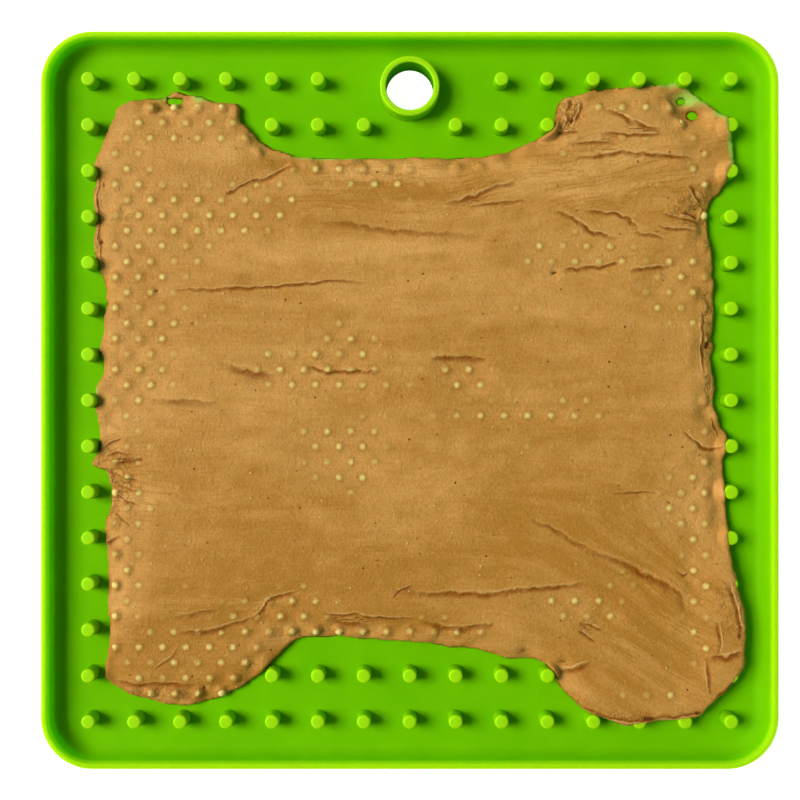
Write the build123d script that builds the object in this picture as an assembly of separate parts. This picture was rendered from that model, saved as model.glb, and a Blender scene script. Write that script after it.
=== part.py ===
from build123d import *
from math import atan2, cos, degrees, pi, sin
import os

# Lick mat: a square silicone feeding mat with a raised rim, a border of round pegs, a bone-shaped
# field of small nubs under a layer of peanut butter, a hanging eyelet and suction cups underneath.
# Millimetres. +Z is up, +Y points to the eyelet, the origin is on the table under the mat's middle.

# Floor panel and rim
mat_side = 200.0
mat_corner_radius = 14.0
floor_thickness = 2.5
floor_edge_bevel = 0.6
rim_height = 6.0
rim_lip_width = 1.6
rim_foot_width = 2.2
rim_cove = 3.4
rim_cove_steps = 3
rim_lip_bevel = 0.5

# Hanging eyelet
eyelet_hole_diameter = 13.0
eyelet_wall = 1.6
eyelet_height = 5.5
eyelet_edge_distance = 14.6
eyelet_lip_bevel = 0.4

# Border pegs
pegs_per_side = 15
peg_border = 12.5
peg_base_diameter = 4.0
peg_top_diameter = 3.8
peg_height = 5.0
peg_sides = 12
eyelet_peg_gap = 4.0

# Bone-shaped field of licking nubs
waist_border = 34.0
lobe_length = 32.5
shoulder_run = 12.0
lobe_outer_radius = 16.0
lobe_inner_radius = 6.0
shoulder_radius = 10.0
nub_pitch_x = 6.45
nub_pitch_y = 4.22
nub_height = 3.0
nub_base_width = 2.6
nub_tip_width = 2.2
nub_sides = 3
nub_edge_gap = 0.3

# Peanut butter
spread_margin = 2.0
spread_peg_gap = 1.0
spread_cover = 1.0
spread_edge_bevel = 0.8

# Suction cups
cups_per_side = 3
cup_border = 38.0
cup_height = 3.5
cup_neck_diameter = 12.0
cup_neck_length = 0.8
cup_lip_diameter = 24.0
cup_lip_thickness = 0.6
cup_lip_land = 0.8
cup_hollow_depth = 2.2
cup_roof_diameter = 4.0
cup_sides = 12

# Places that follow from those sizes
mat_half = mat_side / 2
floor_top = cup_height + floor_thickness
eyelet_y = mat_half - eyelet_edge_distance
eyelet_hole_radius = eyelet_hole_diameter / 2
eyelet_outer_radius = eyelet_hole_radius + eyelet_wall
peg_radius = peg_base_diameter / 2
peg_reach = mat_half - peg_border
bone_half = peg_reach - peg_radius - spread_peg_gap - spread_margin
waist_half = mat_half - waist_border
lobe_start = bone_half - lobe_length
shoulder_start = lobe_start - shoulder_run


def evenly_spaced(reach, count):
    """Places of a row of count items from -reach to reach."""
    return [reach * (2 * index / (count - 1) - 1) for index in range(count)]


def rounded_square(inset, height):
    """The mat's outline moved inwards, at a height."""
    side = mat_side - 2 * inset
    return Pos(0, 0, height) * RectangleRounded(side, side, mat_corner_radius - inset)


def rounded_block(profile):
    """A square block whose sides follow a profile of (inset, height) points, from the bottom up."""
    return loft([rounded_square(inset, height) for inset, height in profile], ruled=True)


def floor_panel():
    """The flat sheet that carries everything, with the hanging hole through it."""
    sheet = rounded_block([(floor_edge_bevel, 0), (0, floor_edge_bevel), (0, floor_thickness)])
    sheet -= extrude(Pos(0, eyelet_y) * Circle(eyelet_hole_radius), floor_thickness)
    return Pos(0, 0, cup_height) * sheet


def raised_rim():
    """The wall round the edge: upright outside, drafted inside, with a deep cove at its foot and a soft lip."""
    lip_edge = rim_height - rim_lip_bevel
    outside = [(0, 0), (0, lip_edge), (rim_lip_bevel, rim_height)]
    turns = [pi / 2 * step / rim_cove_steps for step in range(rim_cove_steps + 1)]
    inside = [
        *((rim_foot_width + rim_cove * (1 - sin(turn)), rim_cove * (1 - cos(turn))) for turn in turns),
        (rim_lip_width, lip_edge),
        (rim_lip_width - rim_lip_bevel, rim_height),
    ]
    return Pos(0, 0, floor_top) * (rounded_block(outside) - rounded_block(inside))


def hanging_eyelet():
    """The collar round the hanging hole."""
    collar = Circle(eyelet_outer_radius) - Circle(eyelet_hole_radius)
    ring = extrude(collar, eyelet_height)
    ring = chamfer(ring.edges().group_by(Axis.Z)[-1], eyelet_lip_bevel)
    return Pos(0, eyelet_y, floor_top) * ring


def bone_outline():
    """The fat bone that the nubs fill: four rounded lobes joined by a wide waist."""
    quarter = [
        (bone_half, bone_half, lobe_outer_radius),
        (lobe_start, bone_half, lobe_inner_radius),
        (shoulder_start, waist_half, shoulder_radius),
    ]
    corners = []
    for side_x, side_y in ((1, 1), (-1, 1), (-1, -1), (1, -1)):
        run = [(side_x * x, side_y * y, radius) for x, y, radius in quarter]
        corners += run if side_x == side_y else run[::-1]
    points = [(x, y) for x, y, radius in corners]
    radii = [radius for x, y, radius in corners]
    return make_face(FilletPolyline(*points, radius=radii, close=True))


def tapered_prism(sides, base_width, tip_width, height):
    """A block with flat sides, from its base width to its tip width."""
    lean = (base_width - tip_width) / 2 * cos(pi / sides)
    return extrude(RegularPolygon(base_width / 2, sides), height, taper=degrees(atan2(lean, height)))


def peg_places():
    """The square grid places that lie clear of the peanut butter and of the eyelet."""
    covered = offset(bone_outline(), spread_margin + spread_peg_gap / 2 + peg_radius).face()
    eyelet_clearance = eyelet_outer_radius + eyelet_peg_gap + peg_radius
    line = evenly_spaced(peg_reach, pegs_per_side)
    places = [Vector(x, y) for y in line for x in line]
    return [
        place
        for place in places
        if not covered.is_inside(place) and (place - Vector(0, eyelet_y)).length > eyelet_clearance
    ]


def peg_groups():
    """The pegs sorted by the side of the mat that they stand on."""
    peg = tapered_prism(peg_sides, peg_base_diameter, peg_top_diameter, peg_height)
    column_reach = peg_reach - peg_radius
    groups = {}
    for place in peg_places():
        if abs(place.X) > column_reach:
            side = "left_pegs" if place.X < 0 else "right_pegs"
        elif place.Y < 0:
            side = "bottom_pegs"
        else:
            side = "top_left_pegs" if place.X < 0 else "top_right_pegs"
        groups.setdefault(side, []).append(Pos(place.X, place.Y, floor_top) * peg)
    return groups


def licking_nubs():
    """Staggered rows of nubs over the whole bone."""
    field = offset(bone_outline(), -nub_base_width / 2 - nub_edge_gap).face()
    nub = tapered_prism(nub_sides, nub_base_width, nub_tip_width, nub_height)
    rows = int(bone_half / nub_pitch_y)
    columns = int(2 * bone_half / nub_pitch_x) + 1
    nubs = []
    for row in range(-rows, rows + 1):
        for column in range(-columns, columns + 1):
            staggered = (row + column) % 2 == 1
            place = Vector(column * nub_pitch_x / 2, row * nub_pitch_y)
            if staggered and field.is_inside(place):
                nubs.append(Pos(place.X, place.Y, floor_top) * nub)
    return nubs


def peanut_butter():
    """A layer on the nub tips, with a skirt that reaches the floor round the nub field."""
    bone = bone_outline()
    layer = extrude(offset(bone, spread_margin), nub_height + spread_cover)
    layer = chamfer(layer.edges().group_by(Axis.Z)[-1], spread_edge_bevel)
    layer -= extrude(bone, nub_height)
    return Pos(0, 0, floor_top) * layer


def suction_cups():
    """Shallow flared cups in a grid under the floor panel, with few sides so that the grid stays light."""
    levels = [
        (cup_lip_diameter, 0),
        (cup_lip_diameter, cup_lip_thickness),
        (cup_neck_diameter, cup_height - cup_neck_length),
        (cup_neck_diameter, cup_height),
    ]
    cup = Part()
    for (lower, start), (upper, end) in zip(levels, levels[1:]):
        cup += Pos(0, 0, start) * tapered_prism(cup_sides, lower, upper, end - start)
    cup -= tapered_prism(cup_sides, cup_lip_diameter - 2 * cup_lip_land, cup_roof_diameter, cup_hollow_depth)
    line = evenly_spaced(mat_half - cup_border, cups_per_side)
    return [Pos(x, y) * cup for y in line for x in line]


def write_node(name, solids):
    """Writes one named piece, or a group of like pieces, to its own file."""
    group = solids if isinstance(solids, list) else [solids]
    loose = [solid for shape in group for solid in shape.solids()]
    export_step(loose[0] if len(loose) == 1 else Compound(loose), f"parts/{name}.step")


os.makedirs("parts", exist_ok=True)
write_node("floor_panel", floor_panel())
write_node("raised_rim", raised_rim())
write_node("hanging_eyelet", hanging_eyelet())
for group_name, pegs in peg_groups().items():
    write_node(group_name, pegs)
write_node("licking_nubs", licking_nubs())
write_node("peanut_butter", peanut_butter())
write_node("suction_cups", suction_cups())
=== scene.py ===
"""Lick mat scene: a green silicone feeding mat with peanut butter spread over its field of nubs.

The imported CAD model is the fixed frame. A smooth rim, eyelet, pegs, nubs and suction cups stand in for
the plainer CAD nodes, and so does the knife-spread peanut butter. Sizes are millimetres until a mesh
is made. The picture is taken from straight above, with the hanging eyelet at the top.
"""

import logging
from dataclasses import dataclass
from enum import Enum
from math import cos, pi, sin
from typing import Any

import bmesh
import bpy
import numpy as np
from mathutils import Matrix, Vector


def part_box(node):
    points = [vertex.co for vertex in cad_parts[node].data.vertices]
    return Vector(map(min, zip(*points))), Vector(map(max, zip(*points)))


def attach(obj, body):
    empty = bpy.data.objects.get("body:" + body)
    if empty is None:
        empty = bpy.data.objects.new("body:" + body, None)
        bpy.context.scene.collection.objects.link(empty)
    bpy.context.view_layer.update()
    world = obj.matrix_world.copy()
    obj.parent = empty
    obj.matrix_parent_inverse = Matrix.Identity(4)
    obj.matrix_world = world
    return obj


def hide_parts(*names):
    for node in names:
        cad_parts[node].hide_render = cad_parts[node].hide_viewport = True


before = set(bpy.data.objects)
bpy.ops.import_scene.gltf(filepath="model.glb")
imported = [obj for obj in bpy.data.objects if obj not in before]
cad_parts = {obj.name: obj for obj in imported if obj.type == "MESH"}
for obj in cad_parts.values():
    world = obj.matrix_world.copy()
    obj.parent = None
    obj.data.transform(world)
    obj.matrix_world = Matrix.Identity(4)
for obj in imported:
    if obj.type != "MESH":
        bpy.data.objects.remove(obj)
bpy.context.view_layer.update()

MM = 0.001
LOG = logging.getLogger("lick_mat")

Point = tuple[float, float]
Span = tuple[float, float]
Loop = list[Point]
Colour = tuple[float, float, float, float]
Links = dict[str | int, Any] | list[Any]
Tree = bpy.types.NodeTree
Socket = bpy.types.NodeSocket
Outputs = bpy.types.NodeOutputs
Material = bpy.types.Material
SceneObject = bpy.types.Object
Array = np.ndarray

# The feature size that leaves a place as it is, for a place that is already counted in features.
AS_COUNTED = 1 / MM

# Sockets of the colour Mix node, which has one pair for each kind of value.
MIX_A, MIX_B, MIX_RESULT = 6, 7, 2

# What a Map Range gives at the start and the end of a fall from all to nothing.
FALLING: Span = (1.0, 0.0)

# How many finer layers rough noise has, how strong each is next to the last, and the middle of its values.
ROUGH_LAYERS, ROUGH_SHARE, NOISE_MIDDLE = 3.0, 0.65, 0.5

# Corners closer than this are one corner, in metres.
WELD = MM * MM

# The upward part of a face's normal below which the face counts as upright.
UPRIGHT = 0.5


class Slot(Enum):
    """The record's material slots."""

    SILICONE = "silicone"
    SPREAD = "spread"


class Carried(Enum):
    """The values that the spread's mesh carries for its finish, by attribute name."""

    TONE = "tone"
    EDGE = "edge"
    HAZE = "haze"
    PIT = "pit"
    MARK = "mark"
    STAIN = "stain"
    RIDGE = "ridge"
    NUB = "nub"
    ROUGH = "rough"
    COMBED = "combed"
    FILM = "film"
    ALONG = "along"
    ACROSS = "across"


def linear_colour(code: str) -> Colour:
    """Turns an sRGB hex code into a linear colour.

    Args:
        code: A hash sign and six hex digits.

    Returns:
        Linear red, green and blue, and an alpha of 1.
    """
    channels = [int(code[start:start + 2], 16) / 255 for start in (1, 3, 5)]
    linear = [c / 12.92 if c <= 0.04045 else ((c + 0.055) / 1.055) ** 2.4 for c in channels]
    return (*linear, 1.0)


def pattern_scale(size_mm: float) -> float:
    """Gives the texture scale at which a pattern's features have a real size in millimetres."""
    return 1 / (size_mm * MM)


def add_node(tree: Tree, kind: str, links: Links | None = None, **settings: Any) -> Outputs:
    """Adds a node with its settings, and links or fills its inputs.

    Args:
        tree: The tree that gets the node.
        kind: The node's type name.
        links: For each input, in order or by name or number, its socket, list of sockets or fixed value.
        settings: The node's own properties.

    Returns:
        The new node's outputs.
    """
    node = tree.nodes.new(kind)
    for name, value in settings.items():
        setattr(node, name, value)
    for name, value in links.items() if isinstance(links, dict) else enumerate(links or []):
        for source in value if isinstance(value, list) else [value]:
            if isinstance(source, Socket):
                tree.links.new(source, node.inputs[name])
            else:
                node.inputs[name].default_value = source
    return node.outputs


def weighted_sum(tree: Tree, start: Socket | float, parts: list[tuple[Socket, float]]) -> Socket:
    """Adds weighted values to a first value.

    Args:
        tree: The tree that gets the sum.
        start: The first value.
        parts: Each further value with its weight.

    Returns:
        The sum.
    """
    total = start
    for part, weight in parts:
        total = add_node(tree, "ShaderNodeMath", [part, weight, total], operation="MULTIPLY_ADD")["Value"]
    return total


def layered_colour(tree: Tree, ground: Colour, layers: list[tuple[Socket, Colour]]) -> Socket:
    """Lays colours over a ground colour, one after another.

    Args:
        tree: The tree that gets the layers.
        ground: The linear colour underneath.
        layers: For each layer, the share of it that shows and its linear colour.

    Returns:
        The colour that is seen.
    """
    colour = ground
    for share, layer in layers:
        links = {"Factor": share, MIX_A: colour, MIX_B: layer}
        colour = add_node(tree, "ShaderNodeMix", links, data_type="RGBA")[MIX_RESULT]
    return colour


def centred_noise(tree: Tree, place: Socket, size_mm: float) -> Socket:
    """Adds rough noise around zero, with features of a real size.

    Args:
        tree: The tree that gets it.
        place: Where to read the noise.
        size_mm: The size of its largest features, in millimetres.

    Returns:
        The noise.
    """
    noise = add_node(
        tree,
        "ShaderNodeTexNoise",
        {"Vector": place, "Scale": pattern_scale(size_mm), "Detail": ROUGH_LAYERS, "Roughness": ROUGH_SHARE},
    )
    return add_node(tree, "ShaderNodeMath", [noise["Fac"], NOISE_MIDDLE], operation="SUBTRACT")["Value"]


def contours(tree: Tree, place: Socket, size_mm: float, thinness: float) -> Socket:
    """Adds thin winding lines, where rough noise passes through zero.

    Args:
        tree: The tree that gets them.
        place: Where to read the noise.
        size_mm: The size of the noise's largest features, in millimetres.
        thinness: How far from zero the lines reach.

    Returns:
        A share that is 1 on a line.
    """
    away = add_node(tree, "ShaderNodeMath", [centred_noise(tree, place, size_mm)], operation="ABSOLUTE")
    return add_node(
        tree,
        "ShaderNodeMapRange",
        [away["Value"], 0.0, thinness, *FALLING],
        interpolation_type="SMOOTHSTEP",
    )["Result"]


def blank_material(name: str) -> Material:
    """Makes a material with an empty node tree.

    Args:
        name: The material's name.

    Returns:
        The material.
    """
    material = bpy.data.materials.new(name)
    material.use_nodes = True
    material.node_tree.nodes.clear()
    return material


def surfaced(material: Material, inputs: Links) -> Material:
    """Ends a material with one surface.

    Args:
        material: The material, whose tree has everything else.
        inputs: What the surface is made of, by the names of its inputs.

    Returns:
        The finished material.
    """
    surface = add_node(material.node_tree, "ShaderNodeBsdfPrincipled", inputs)
    add_node(material.node_tree, "ShaderNodeOutputMaterial", {"Surface": surface["BSDF"]})
    return material


def ease(value: Array, start: float, end: float) -> Array:
    """Rises smoothly from 0 at start to 1 at end.

    Args:
        value: Where to read the rise.
        start: The value at which it begins.
        end: The value at which it is complete.

    Returns:
        The share of the rise, with value's shape.
    """
    share = np.clip((value - start) / (end - start), 0, 1)
    return share * share * (3 - 2 * share)


def bump(distance: Array, reach: float) -> Array:
    """Gives a soft round bump that falls away over a reach."""
    return np.exp(-((distance / reach) ** 2))


class SmoothNoise:
    """Smooth random values on a plane, the same on each run."""

    CELLS = 256

    def __init__(self, seed: int) -> None:
        """Fills the lattice from a fixed seed."""
        self.lattice = np.random.default_rng(seed).uniform(-1, 1, (self.CELLS, self.CELLS))

    def __call__(self, x: Array, y: Array) -> Array:
        """Reads the noise, whose features are about one unit across.

        Args:
            x: First coordinates.
            y: Second coordinates.

        Returns:
            Values from -1 to 1.
        """
        column, row = np.floor(x).astype(int), np.floor(y).astype(int)
        across, up = ease(x - column, 0, 1), ease(y - row, 0, 1)
        near = self.corner(column, row) * (1 - across) + self.corner(column + 1, row) * across
        far = self.corner(column, row + 1) * (1 - across) + self.corner(column + 1, row + 1) * across
        return near * (1 - up) + far * up

    def corner(self, column: Array, row: Array) -> Array:
        """Reads lattice corners, which repeat past the lattice's edge."""
        return self.lattice[column % self.CELLS, row % self.CELLS]


# Silicone rubber from a finely blasted mould gives a saturated, nearly matt green that is cloudy and finely
# grained. Its thin raised tops are painted paler, a painted highlight for the light from the sides that
# shines into them. The grain is drawn coarser than the mould's, so that it shows.
@dataclass(frozen=True)
class MouldedSilicone:
    """Food-grade silicone rubber, moulded in one piece."""

    name: str = "moulded_green_silicone"
    dull: str = "#66B600"
    bright: str = "#78C600"
    # Colour of the painted highlight on the raised tops.
    raised: str = "#9EDB0C"
    painted_highlight_from: float = 4.0
    painted_highlight_to: float = 5.1
    ior: float = 1.41
    specular: float = 0.08
    roughness: float = 0.5
    mottle_mm: float = 14.0
    grain_mm: float = 0.7
    grain_depth_mm: float = 0.012
    glow: float = 0.9
    glow_reach: tuple[float, float, float] = (0.7, 1.0, 0.1)
    glow_depth_mm: float = 0.4
    wall_glow_depth_mm: float = 2.0
    wall_from: float = 0.4
    wall_to: float = 2.6

    def material(self, floor_z: float) -> Material:
        """Builds the material, whose paleness and glow follow the height above the floor panel.

        Args:
            floor_z: Height of the floor panel's top, in millimetres.

        Returns:
            The material.
        """
        material = blank_material(self.name)
        tree = material.node_tree
        place = add_node(tree, "ShaderNodeTexCoord")["Object"]
        height = add_node(tree, "ShaderNodeSeparateXYZ", {"Vector": place})["Z"]
        mottle, grain = (
            add_node(tree, "ShaderNodeTexNoise", {"Vector": place, "Scale": pattern_scale(size_mm)})["Fac"]
            for size_mm in (self.mottle_mm, self.grain_mm)
        )
        # Painted highlight: the colour pales towards the raised tops, for the light from the sides that
        # shines into them.
        top = add_node(
            tree,
            "ShaderNodeMapRange",
            [height, (floor_z + self.painted_highlight_from) * MM, (floor_z + self.painted_highlight_to) * MM],
            interpolation_type="SMOOTHSTEP",
        )
        glow_depth = add_node(
            tree,
            "ShaderNodeMapRange",
            {
                "Value": height,
                "From Min": (floor_z + self.wall_from) * MM,
                "From Max": (floor_z + self.wall_to) * MM,
                "To Min": self.glow_depth_mm * MM,
                "To Max": self.wall_glow_depth_mm * MM,
            },
        )
        colour = layered_colour(
            tree,
            linear_colour(self.dull),
            [(mottle, linear_colour(self.bright)), (top["Result"], linear_colour(self.raised))],
        )
        relief = add_node(tree, "ShaderNodeBump", {"Distance": self.grain_depth_mm * MM, "Height": grain})
        return surfaced(
            material,
            {
                "Base Color": colour,
                "Roughness": self.roughness,
                "IOR": self.ior,
                "Specular IOR Level": self.specular,
                "Subsurface Weight": self.glow,
                "Subsurface Radius": self.glow_reach,
                "Subsurface Scale": glow_depth["Result"],
                "Normal": relief["Normal"],
            },
        )


# Light shines further into the tray's thin upright walls, and the painted highlight on its lips is a little
# dimmer.
THIN_WALLED_SILICONE = MouldedSilicone(
    name="thin_walled_green_silicone", raised="#96D00C", specular=0.02, wall_glow_depth_mm=7.0
)


# The same rubber in the hanging hole's wall looks matt. It is painted darker the further down it lies, a
# painted shade for the light that does not reach down the hole.
@dataclass(frozen=True)
class BoreSiliconeWithPaintedShade:
    """The silicone of the hanging hole's wall, with painted shade lower down."""

    upper: str = "#4FA80C"
    # Colour of the painted shade at the hole's lower end.
    lower: str = "#0C5200"
    roughness: float = 0.8
    specular: float = 0.0

    def material(self, bottom_z: float, top_z: float) -> Material:
        """Builds the material, whose painted shade deepens further down the hole.

        Args:
            bottom_z: Height of the hole's lower end, in millimetres.
            top_z: Height of its upper end, in millimetres.

        Returns:
            The material.
        """
        material = blank_material("bore_silicone_painted_shade")
        tree = material.node_tree
        place = add_node(tree, "ShaderNodeTexCoord")["Object"]
        height = add_node(tree, "ShaderNodeSeparateXYZ", {"Vector": place})["Z"]
        share = add_node(tree, "ShaderNodeMapRange", [height, bottom_z * MM, top_z * MM])["Result"]
        colour = layered_colour(tree, linear_colour(self.lower), [(share, linear_colour(self.upper))])
        return surfaced(
            material,
            {"Base Color": colour, "Roughness": self.roughness, "Specular IOR Level": self.specular},
        )


# A wiped film of peanut butter makes the nub tips a pale straw colour, unevenly, and their sides brown.
@dataclass(frozen=True)
class SmearedSilicone:
    """Moulded silicone nubs under a wiped film of peanut butter."""

    side: str = "#CBB05C"
    tip: str = "#E2D282"
    ior: float = 1.41
    specular: float = 0.15
    roughness: float = 0.4
    film_from: float = 2.3
    film_to: float = 2.8
    least_film: float = 0.25
    blotch_mm: float = 5.0

    def material(self, foot_z: float) -> Material:
        """Builds the material, whose film follows the height above the nubs' feet.

        Args:
            foot_z: Height of the nubs' feet, in millimetres.

        Returns:
            The material.
        """
        material = blank_material("smeared_nub_silicone")
        tree = material.node_tree
        place = add_node(tree, "ShaderNodeTexCoord")["Object"]
        height = add_node(tree, "ShaderNodeSeparateXYZ", {"Vector": place})["Z"]
        film = add_node(
            tree,
            "ShaderNodeMapRange",
            [height, (foot_z + self.film_from) * MM, (foot_z + self.film_to) * MM],
        )
        scale = pattern_scale(self.blotch_mm)
        blotch = add_node(tree, "ShaderNodeTexNoise", {"Vector": place, "Scale": scale})
        wiped = add_node(
            tree,
            "ShaderNodeMath",
            [film["Result"], blotch["Fac"], self.least_film],
            operation="MULTIPLY_ADD",
            use_clamp=True,
        )
        colour = layered_colour(tree, linear_colour(self.side), [(wiped["Value"], linear_colour(self.tip))])
        return surfaced(
            material,
            {
                "Base Color": colour,
                "Roughness": self.roughness,
                "IOR": self.ior,
                "Specular IOR Level": self.specular,
            },
        )


# Ground peanuts in oil give a golden brown paste, combed along the knife's strokes, with dark bits of skin,
# paler crumbs and straw-coloured spots where nub tips press through. Painted light is drawn in too: brown
# painted shade in the hollows and beside the crumbs, a painted shade ring round each nub spot, and along each
# knife mark a dark groove of painted shade with the oil gathered in it, beside a ridge in painted highlight.
# Its grain and grit are drawn coarser than the grind, so that they show.
@dataclass(frozen=True)
class GroundPeanuts:
    """Peanut butter, ground peanuts in oil, spread with a knife."""

    deep: str = "#AC7A2B"
    pale: str = "#D2A25A"
    rim: str = "#B0702A"
    # Painted highlight on the ridge beside each knife groove.
    painted_crest_highlight: str = "#E6BC7C"
    # Painted shade in each knife groove's fold, with the oil gathered there; the torn lines take this colour
    # too.
    crease: str = "#8A4E04"
    # Painted shade in the pits and beside the crumbs.
    hollow: str = "#663600"
    film: str = "#E0CE78"
    # Painted shade: the darker ring round each nub spot's dome.
    moat: str = "#94621A"
    haze: str = "#96C44C"
    speck: str = "#6E3200"
    bit: str = "#D8AC66"
    ior: float = 1.47
    specular: float = 0.14
    roughness: float = 0.45
    streak_length_mm: float = 9.0
    streak_width_mm: float = 0.55
    streak_depth_mm: float = 0.08
    streak_tone: float = 0.6
    grain_mm: float = 0.9
    grain_tone: float = 0.9
    grit_mm: float = 0.7
    grit_depth_mm: float = 0.3
    line_length_mm: float = 24.0
    line_width_mm: float = 2.6
    line_thinness: float = 0.04
    line_share: float = 0.1
    combed_share: float = 0.6
    line_tone: float = 0.6
    line_depth_mm: float = 0.08
    torn_mm: float = 3.4
    torn_thinness: float = 0.06
    torn_share: float = 0.4
    torn_depth_mm: float = 0.25
    pit_core: float = 0.8
    pit_edge: float = 0.3
    mark_depth_mm: float = 0.25
    mark_shade_and_stain: float = 2.3
    mark_break_mm: float = 3.0
    mark_break: float = 2.4
    mark_whole: float = 0.9
    mark_raggedness: float = 1.1
    mark_steepness: float = 3.0
    groove_core: float = 0.1
    groove_edge: float = 1.6
    crest_place: float = 0.95
    crest_core: float = 0.05
    crest_edge: float = 0.5
    spot_raggedness_mm: float = 0.9
    spot_mm: Span = (0.2, 1.25)
    dome_mm: Span = (0.0, 1.5)
    moat_mm: Span = (1.0, 2.2)
    dome_height_mm: float = 0.18
    moat_share: float = 0.4
    speck_mm: float = 4.2
    speck_radius: float = 0.05
    bit_mm: float = 3.9
    bit_radius: float = 0.06
    bit_height_mm: float = 0.25
    glow: float = 0.45
    glow_reach: tuple[float, float, float] = (1.0, 0.4, 0.15)
    glow_depth_mm: float = 0.7

    def material(self) -> Material:
        """Builds the material from the values that the layer's mesh carries.

        Returns:
            The material.
        """
        material = blank_material("spread_peanut_butter")
        tree = material.node_tree
        place = add_node(tree, "ShaderNodeTexCoord")["Object"]
        carried = {
            value: add_node(tree, "ShaderNodeAttribute", attribute_name=value.value)["Fac"]
            for value in Carried
        }
        grain = centred_noise(tree, place, self.grain_mm)
        streaks, lines = self.stroke_lines(tree, carried)
        torn = contours(tree, place, self.torn_mm, self.torn_thinness)
        torn = add_node(tree, "ShaderNodeMath", [torn, carried[Carried.ROUGH]], operation="MULTIPLY")["Value"]
        # Painted shade in the pits and beside the crumbs, frayed by the grain.
        hollow = add_node(tree, "ShaderNodeMath", [grain, carried[Carried.PIT]], operation="ADD")["Value"]
        pit = add_node(
            tree,
            "ShaderNodeMapRange",
            [hollow, self.pit_core, self.pit_edge, *FALLING],
            interpolation_type="SMOOTHSTEP",
        )
        groove, ridge = self.knife_lines(tree, carried, place, grain)
        spot, dome, moat = self.nub_spots(tree, carried, grain)
        specks = self.specks(tree, place, self.speck_mm, self.speck_radius)
        bits = self.specks(tree, place, self.bit_mm, self.bit_radius)
        tone = weighted_sum(
            tree,
            carried[Carried.TONE],
            [(streaks, self.streak_tone), (grain, self.grain_tone), (lines, -self.line_tone)],
        )
        moat_shade_tint, torn_tint = (
            add_node(tree, "ShaderNodeMath", [value, share], operation="MULTIPLY")["Value"]
            for value, share in ((moat, self.moat_share), (torn, self.torn_share))
        )
        layers = (
            (tone, self.pale),
            (specks, self.speck),
            (bits, self.bit),
            (carried[Carried.EDGE], self.rim),
            (ridge, self.painted_crest_highlight),
            (moat_shade_tint, self.moat),
            (spot, self.film),
            (carried[Carried.HAZE], self.haze),
            (torn_tint, self.crease),
            (groove, self.crease),
            (pit["Result"], self.hollow),
        )
        height = weighted_sum(
            tree,
            0.0,
            [
                (centred_noise(tree, place, self.grit_mm), self.grit_depth_mm),
                (streaks, self.streak_depth_mm),
                (bits, self.bit_height_mm),
                (dome, self.dome_height_mm),
                (ridge, self.mark_depth_mm),
                (groove, -self.mark_depth_mm),
                (lines, -self.line_depth_mm),
                (torn, -self.torn_depth_mm),
            ],
        )
        colours = [(share, linear_colour(code)) for share, code in layers]
        return surfaced(
            material,
            {
                "Base Color": layered_colour(tree, linear_colour(self.deep), colours),
                "Roughness": self.roughness,
                "IOR": self.ior,
                "Specular IOR Level": self.specular,
                "Subsurface Weight": self.glow,
                "Subsurface Radius": self.glow_reach,
                "Subsurface Scale": self.glow_depth_mm * MM,
                "Normal": add_node(tree, "ShaderNodeBump", {"Distance": MM, "Height": height})["Normal"],
            },
        )

    def stroke_lines(self, tree: Tree, carried: dict[Carried, Socket]) -> tuple[Socket, Socket]:
        """Draws what runs along the knife's strokes: streaks of tone, and fine combed lines.

        Args:
            tree: The material's tree.
            carried: The mesh's values, of which the distances along and across the strokes are used.

        Returns:
            The streaks, around zero, and the lines' share.
        """
        stroke = add_node(
            tree, "ShaderNodeCombineXYZ", {"X": carried[Carried.ALONG], "Y": carried[Carried.ACROSS]}
        )["Vector"]
        fine, broad = (
            add_node(tree, "ShaderNodeVectorMath", [stroke, size], operation="DIVIDE")["Vector"]
            for size in (
                (self.streak_length_mm, self.streak_width_mm, 1.0),
                (self.line_length_mm, self.line_width_mm, 1.0),
            )
        )
        lines = contours(tree, broad, AS_COUNTED, self.line_thinness)
        combed = weighted_sum(tree, self.line_share, [(carried[Carried.COMBED], self.combed_share)])
        return (
            centred_noise(tree, fine, AS_COUNTED),
            add_node(tree, "ShaderNodeMath", [lines, combed], operation="MULTIPLY")["Value"],
        )

    def knife_lines(
        self, tree: Tree, carried: dict[Carried, Socket], place: Socket, grain: Socket
    ) -> tuple[Socket, Socket]:
        """Draws each knife mark as a groove in painted shade and oil stain, broken in places, with a ridge in
        painted highlight beside it.

        Args:
            tree: The material's tree.
            carried: The mesh's values, of which the place across the nearest mark and its strengths are used.
            place: The point on the piece.
            grain: Noise that frays the lines.

        Returns:
            The groove's and the ridge's shares.
        """
        across = weighted_sum(tree, carried[Carried.MARK], [(grain, self.mark_raggedness)])
        steep = add_node(tree, "ShaderNodeMath", [across, self.mark_steepness], operation="MULTIPLY")["Value"]
        gentle = add_node(tree, "ShaderNodeMath", [across, -1.0], operation="MULTIPLY")["Value"]
        bed = add_node(tree, "ShaderNodeMath", [steep, gentle], operation="MAXIMUM")["Value"]
        beside = add_node(tree, "ShaderNodeMath", [across, self.crest_place], operation="SUBTRACT")["Value"]
        away = add_node(tree, "ShaderNodeMath", [beside], operation="ABSOLUTE")["Value"]
        groove, ridge = (
            add_node(tree, "ShaderNodeMapRange", [*run, *FALLING], interpolation_type="SMOOTHSTEP")["Result"]
            for run in ((bed, self.groove_core, self.groove_edge), (away, self.crest_core, self.crest_edge))
        )
        whole = add_node(
            tree,
            "ShaderNodeMath",
            [centred_noise(tree, place, self.mark_break_mm), self.mark_break, self.mark_whole],
            operation="MULTIPLY_ADD",
            use_clamp=True,
        )["Value"]
        stain = add_node(
            tree,
            "ShaderNodeMath",
            [carried[Carried.STAIN], self.mark_shade_and_stain],
            operation="MULTIPLY",
            use_clamp=True,
        )["Value"]
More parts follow.
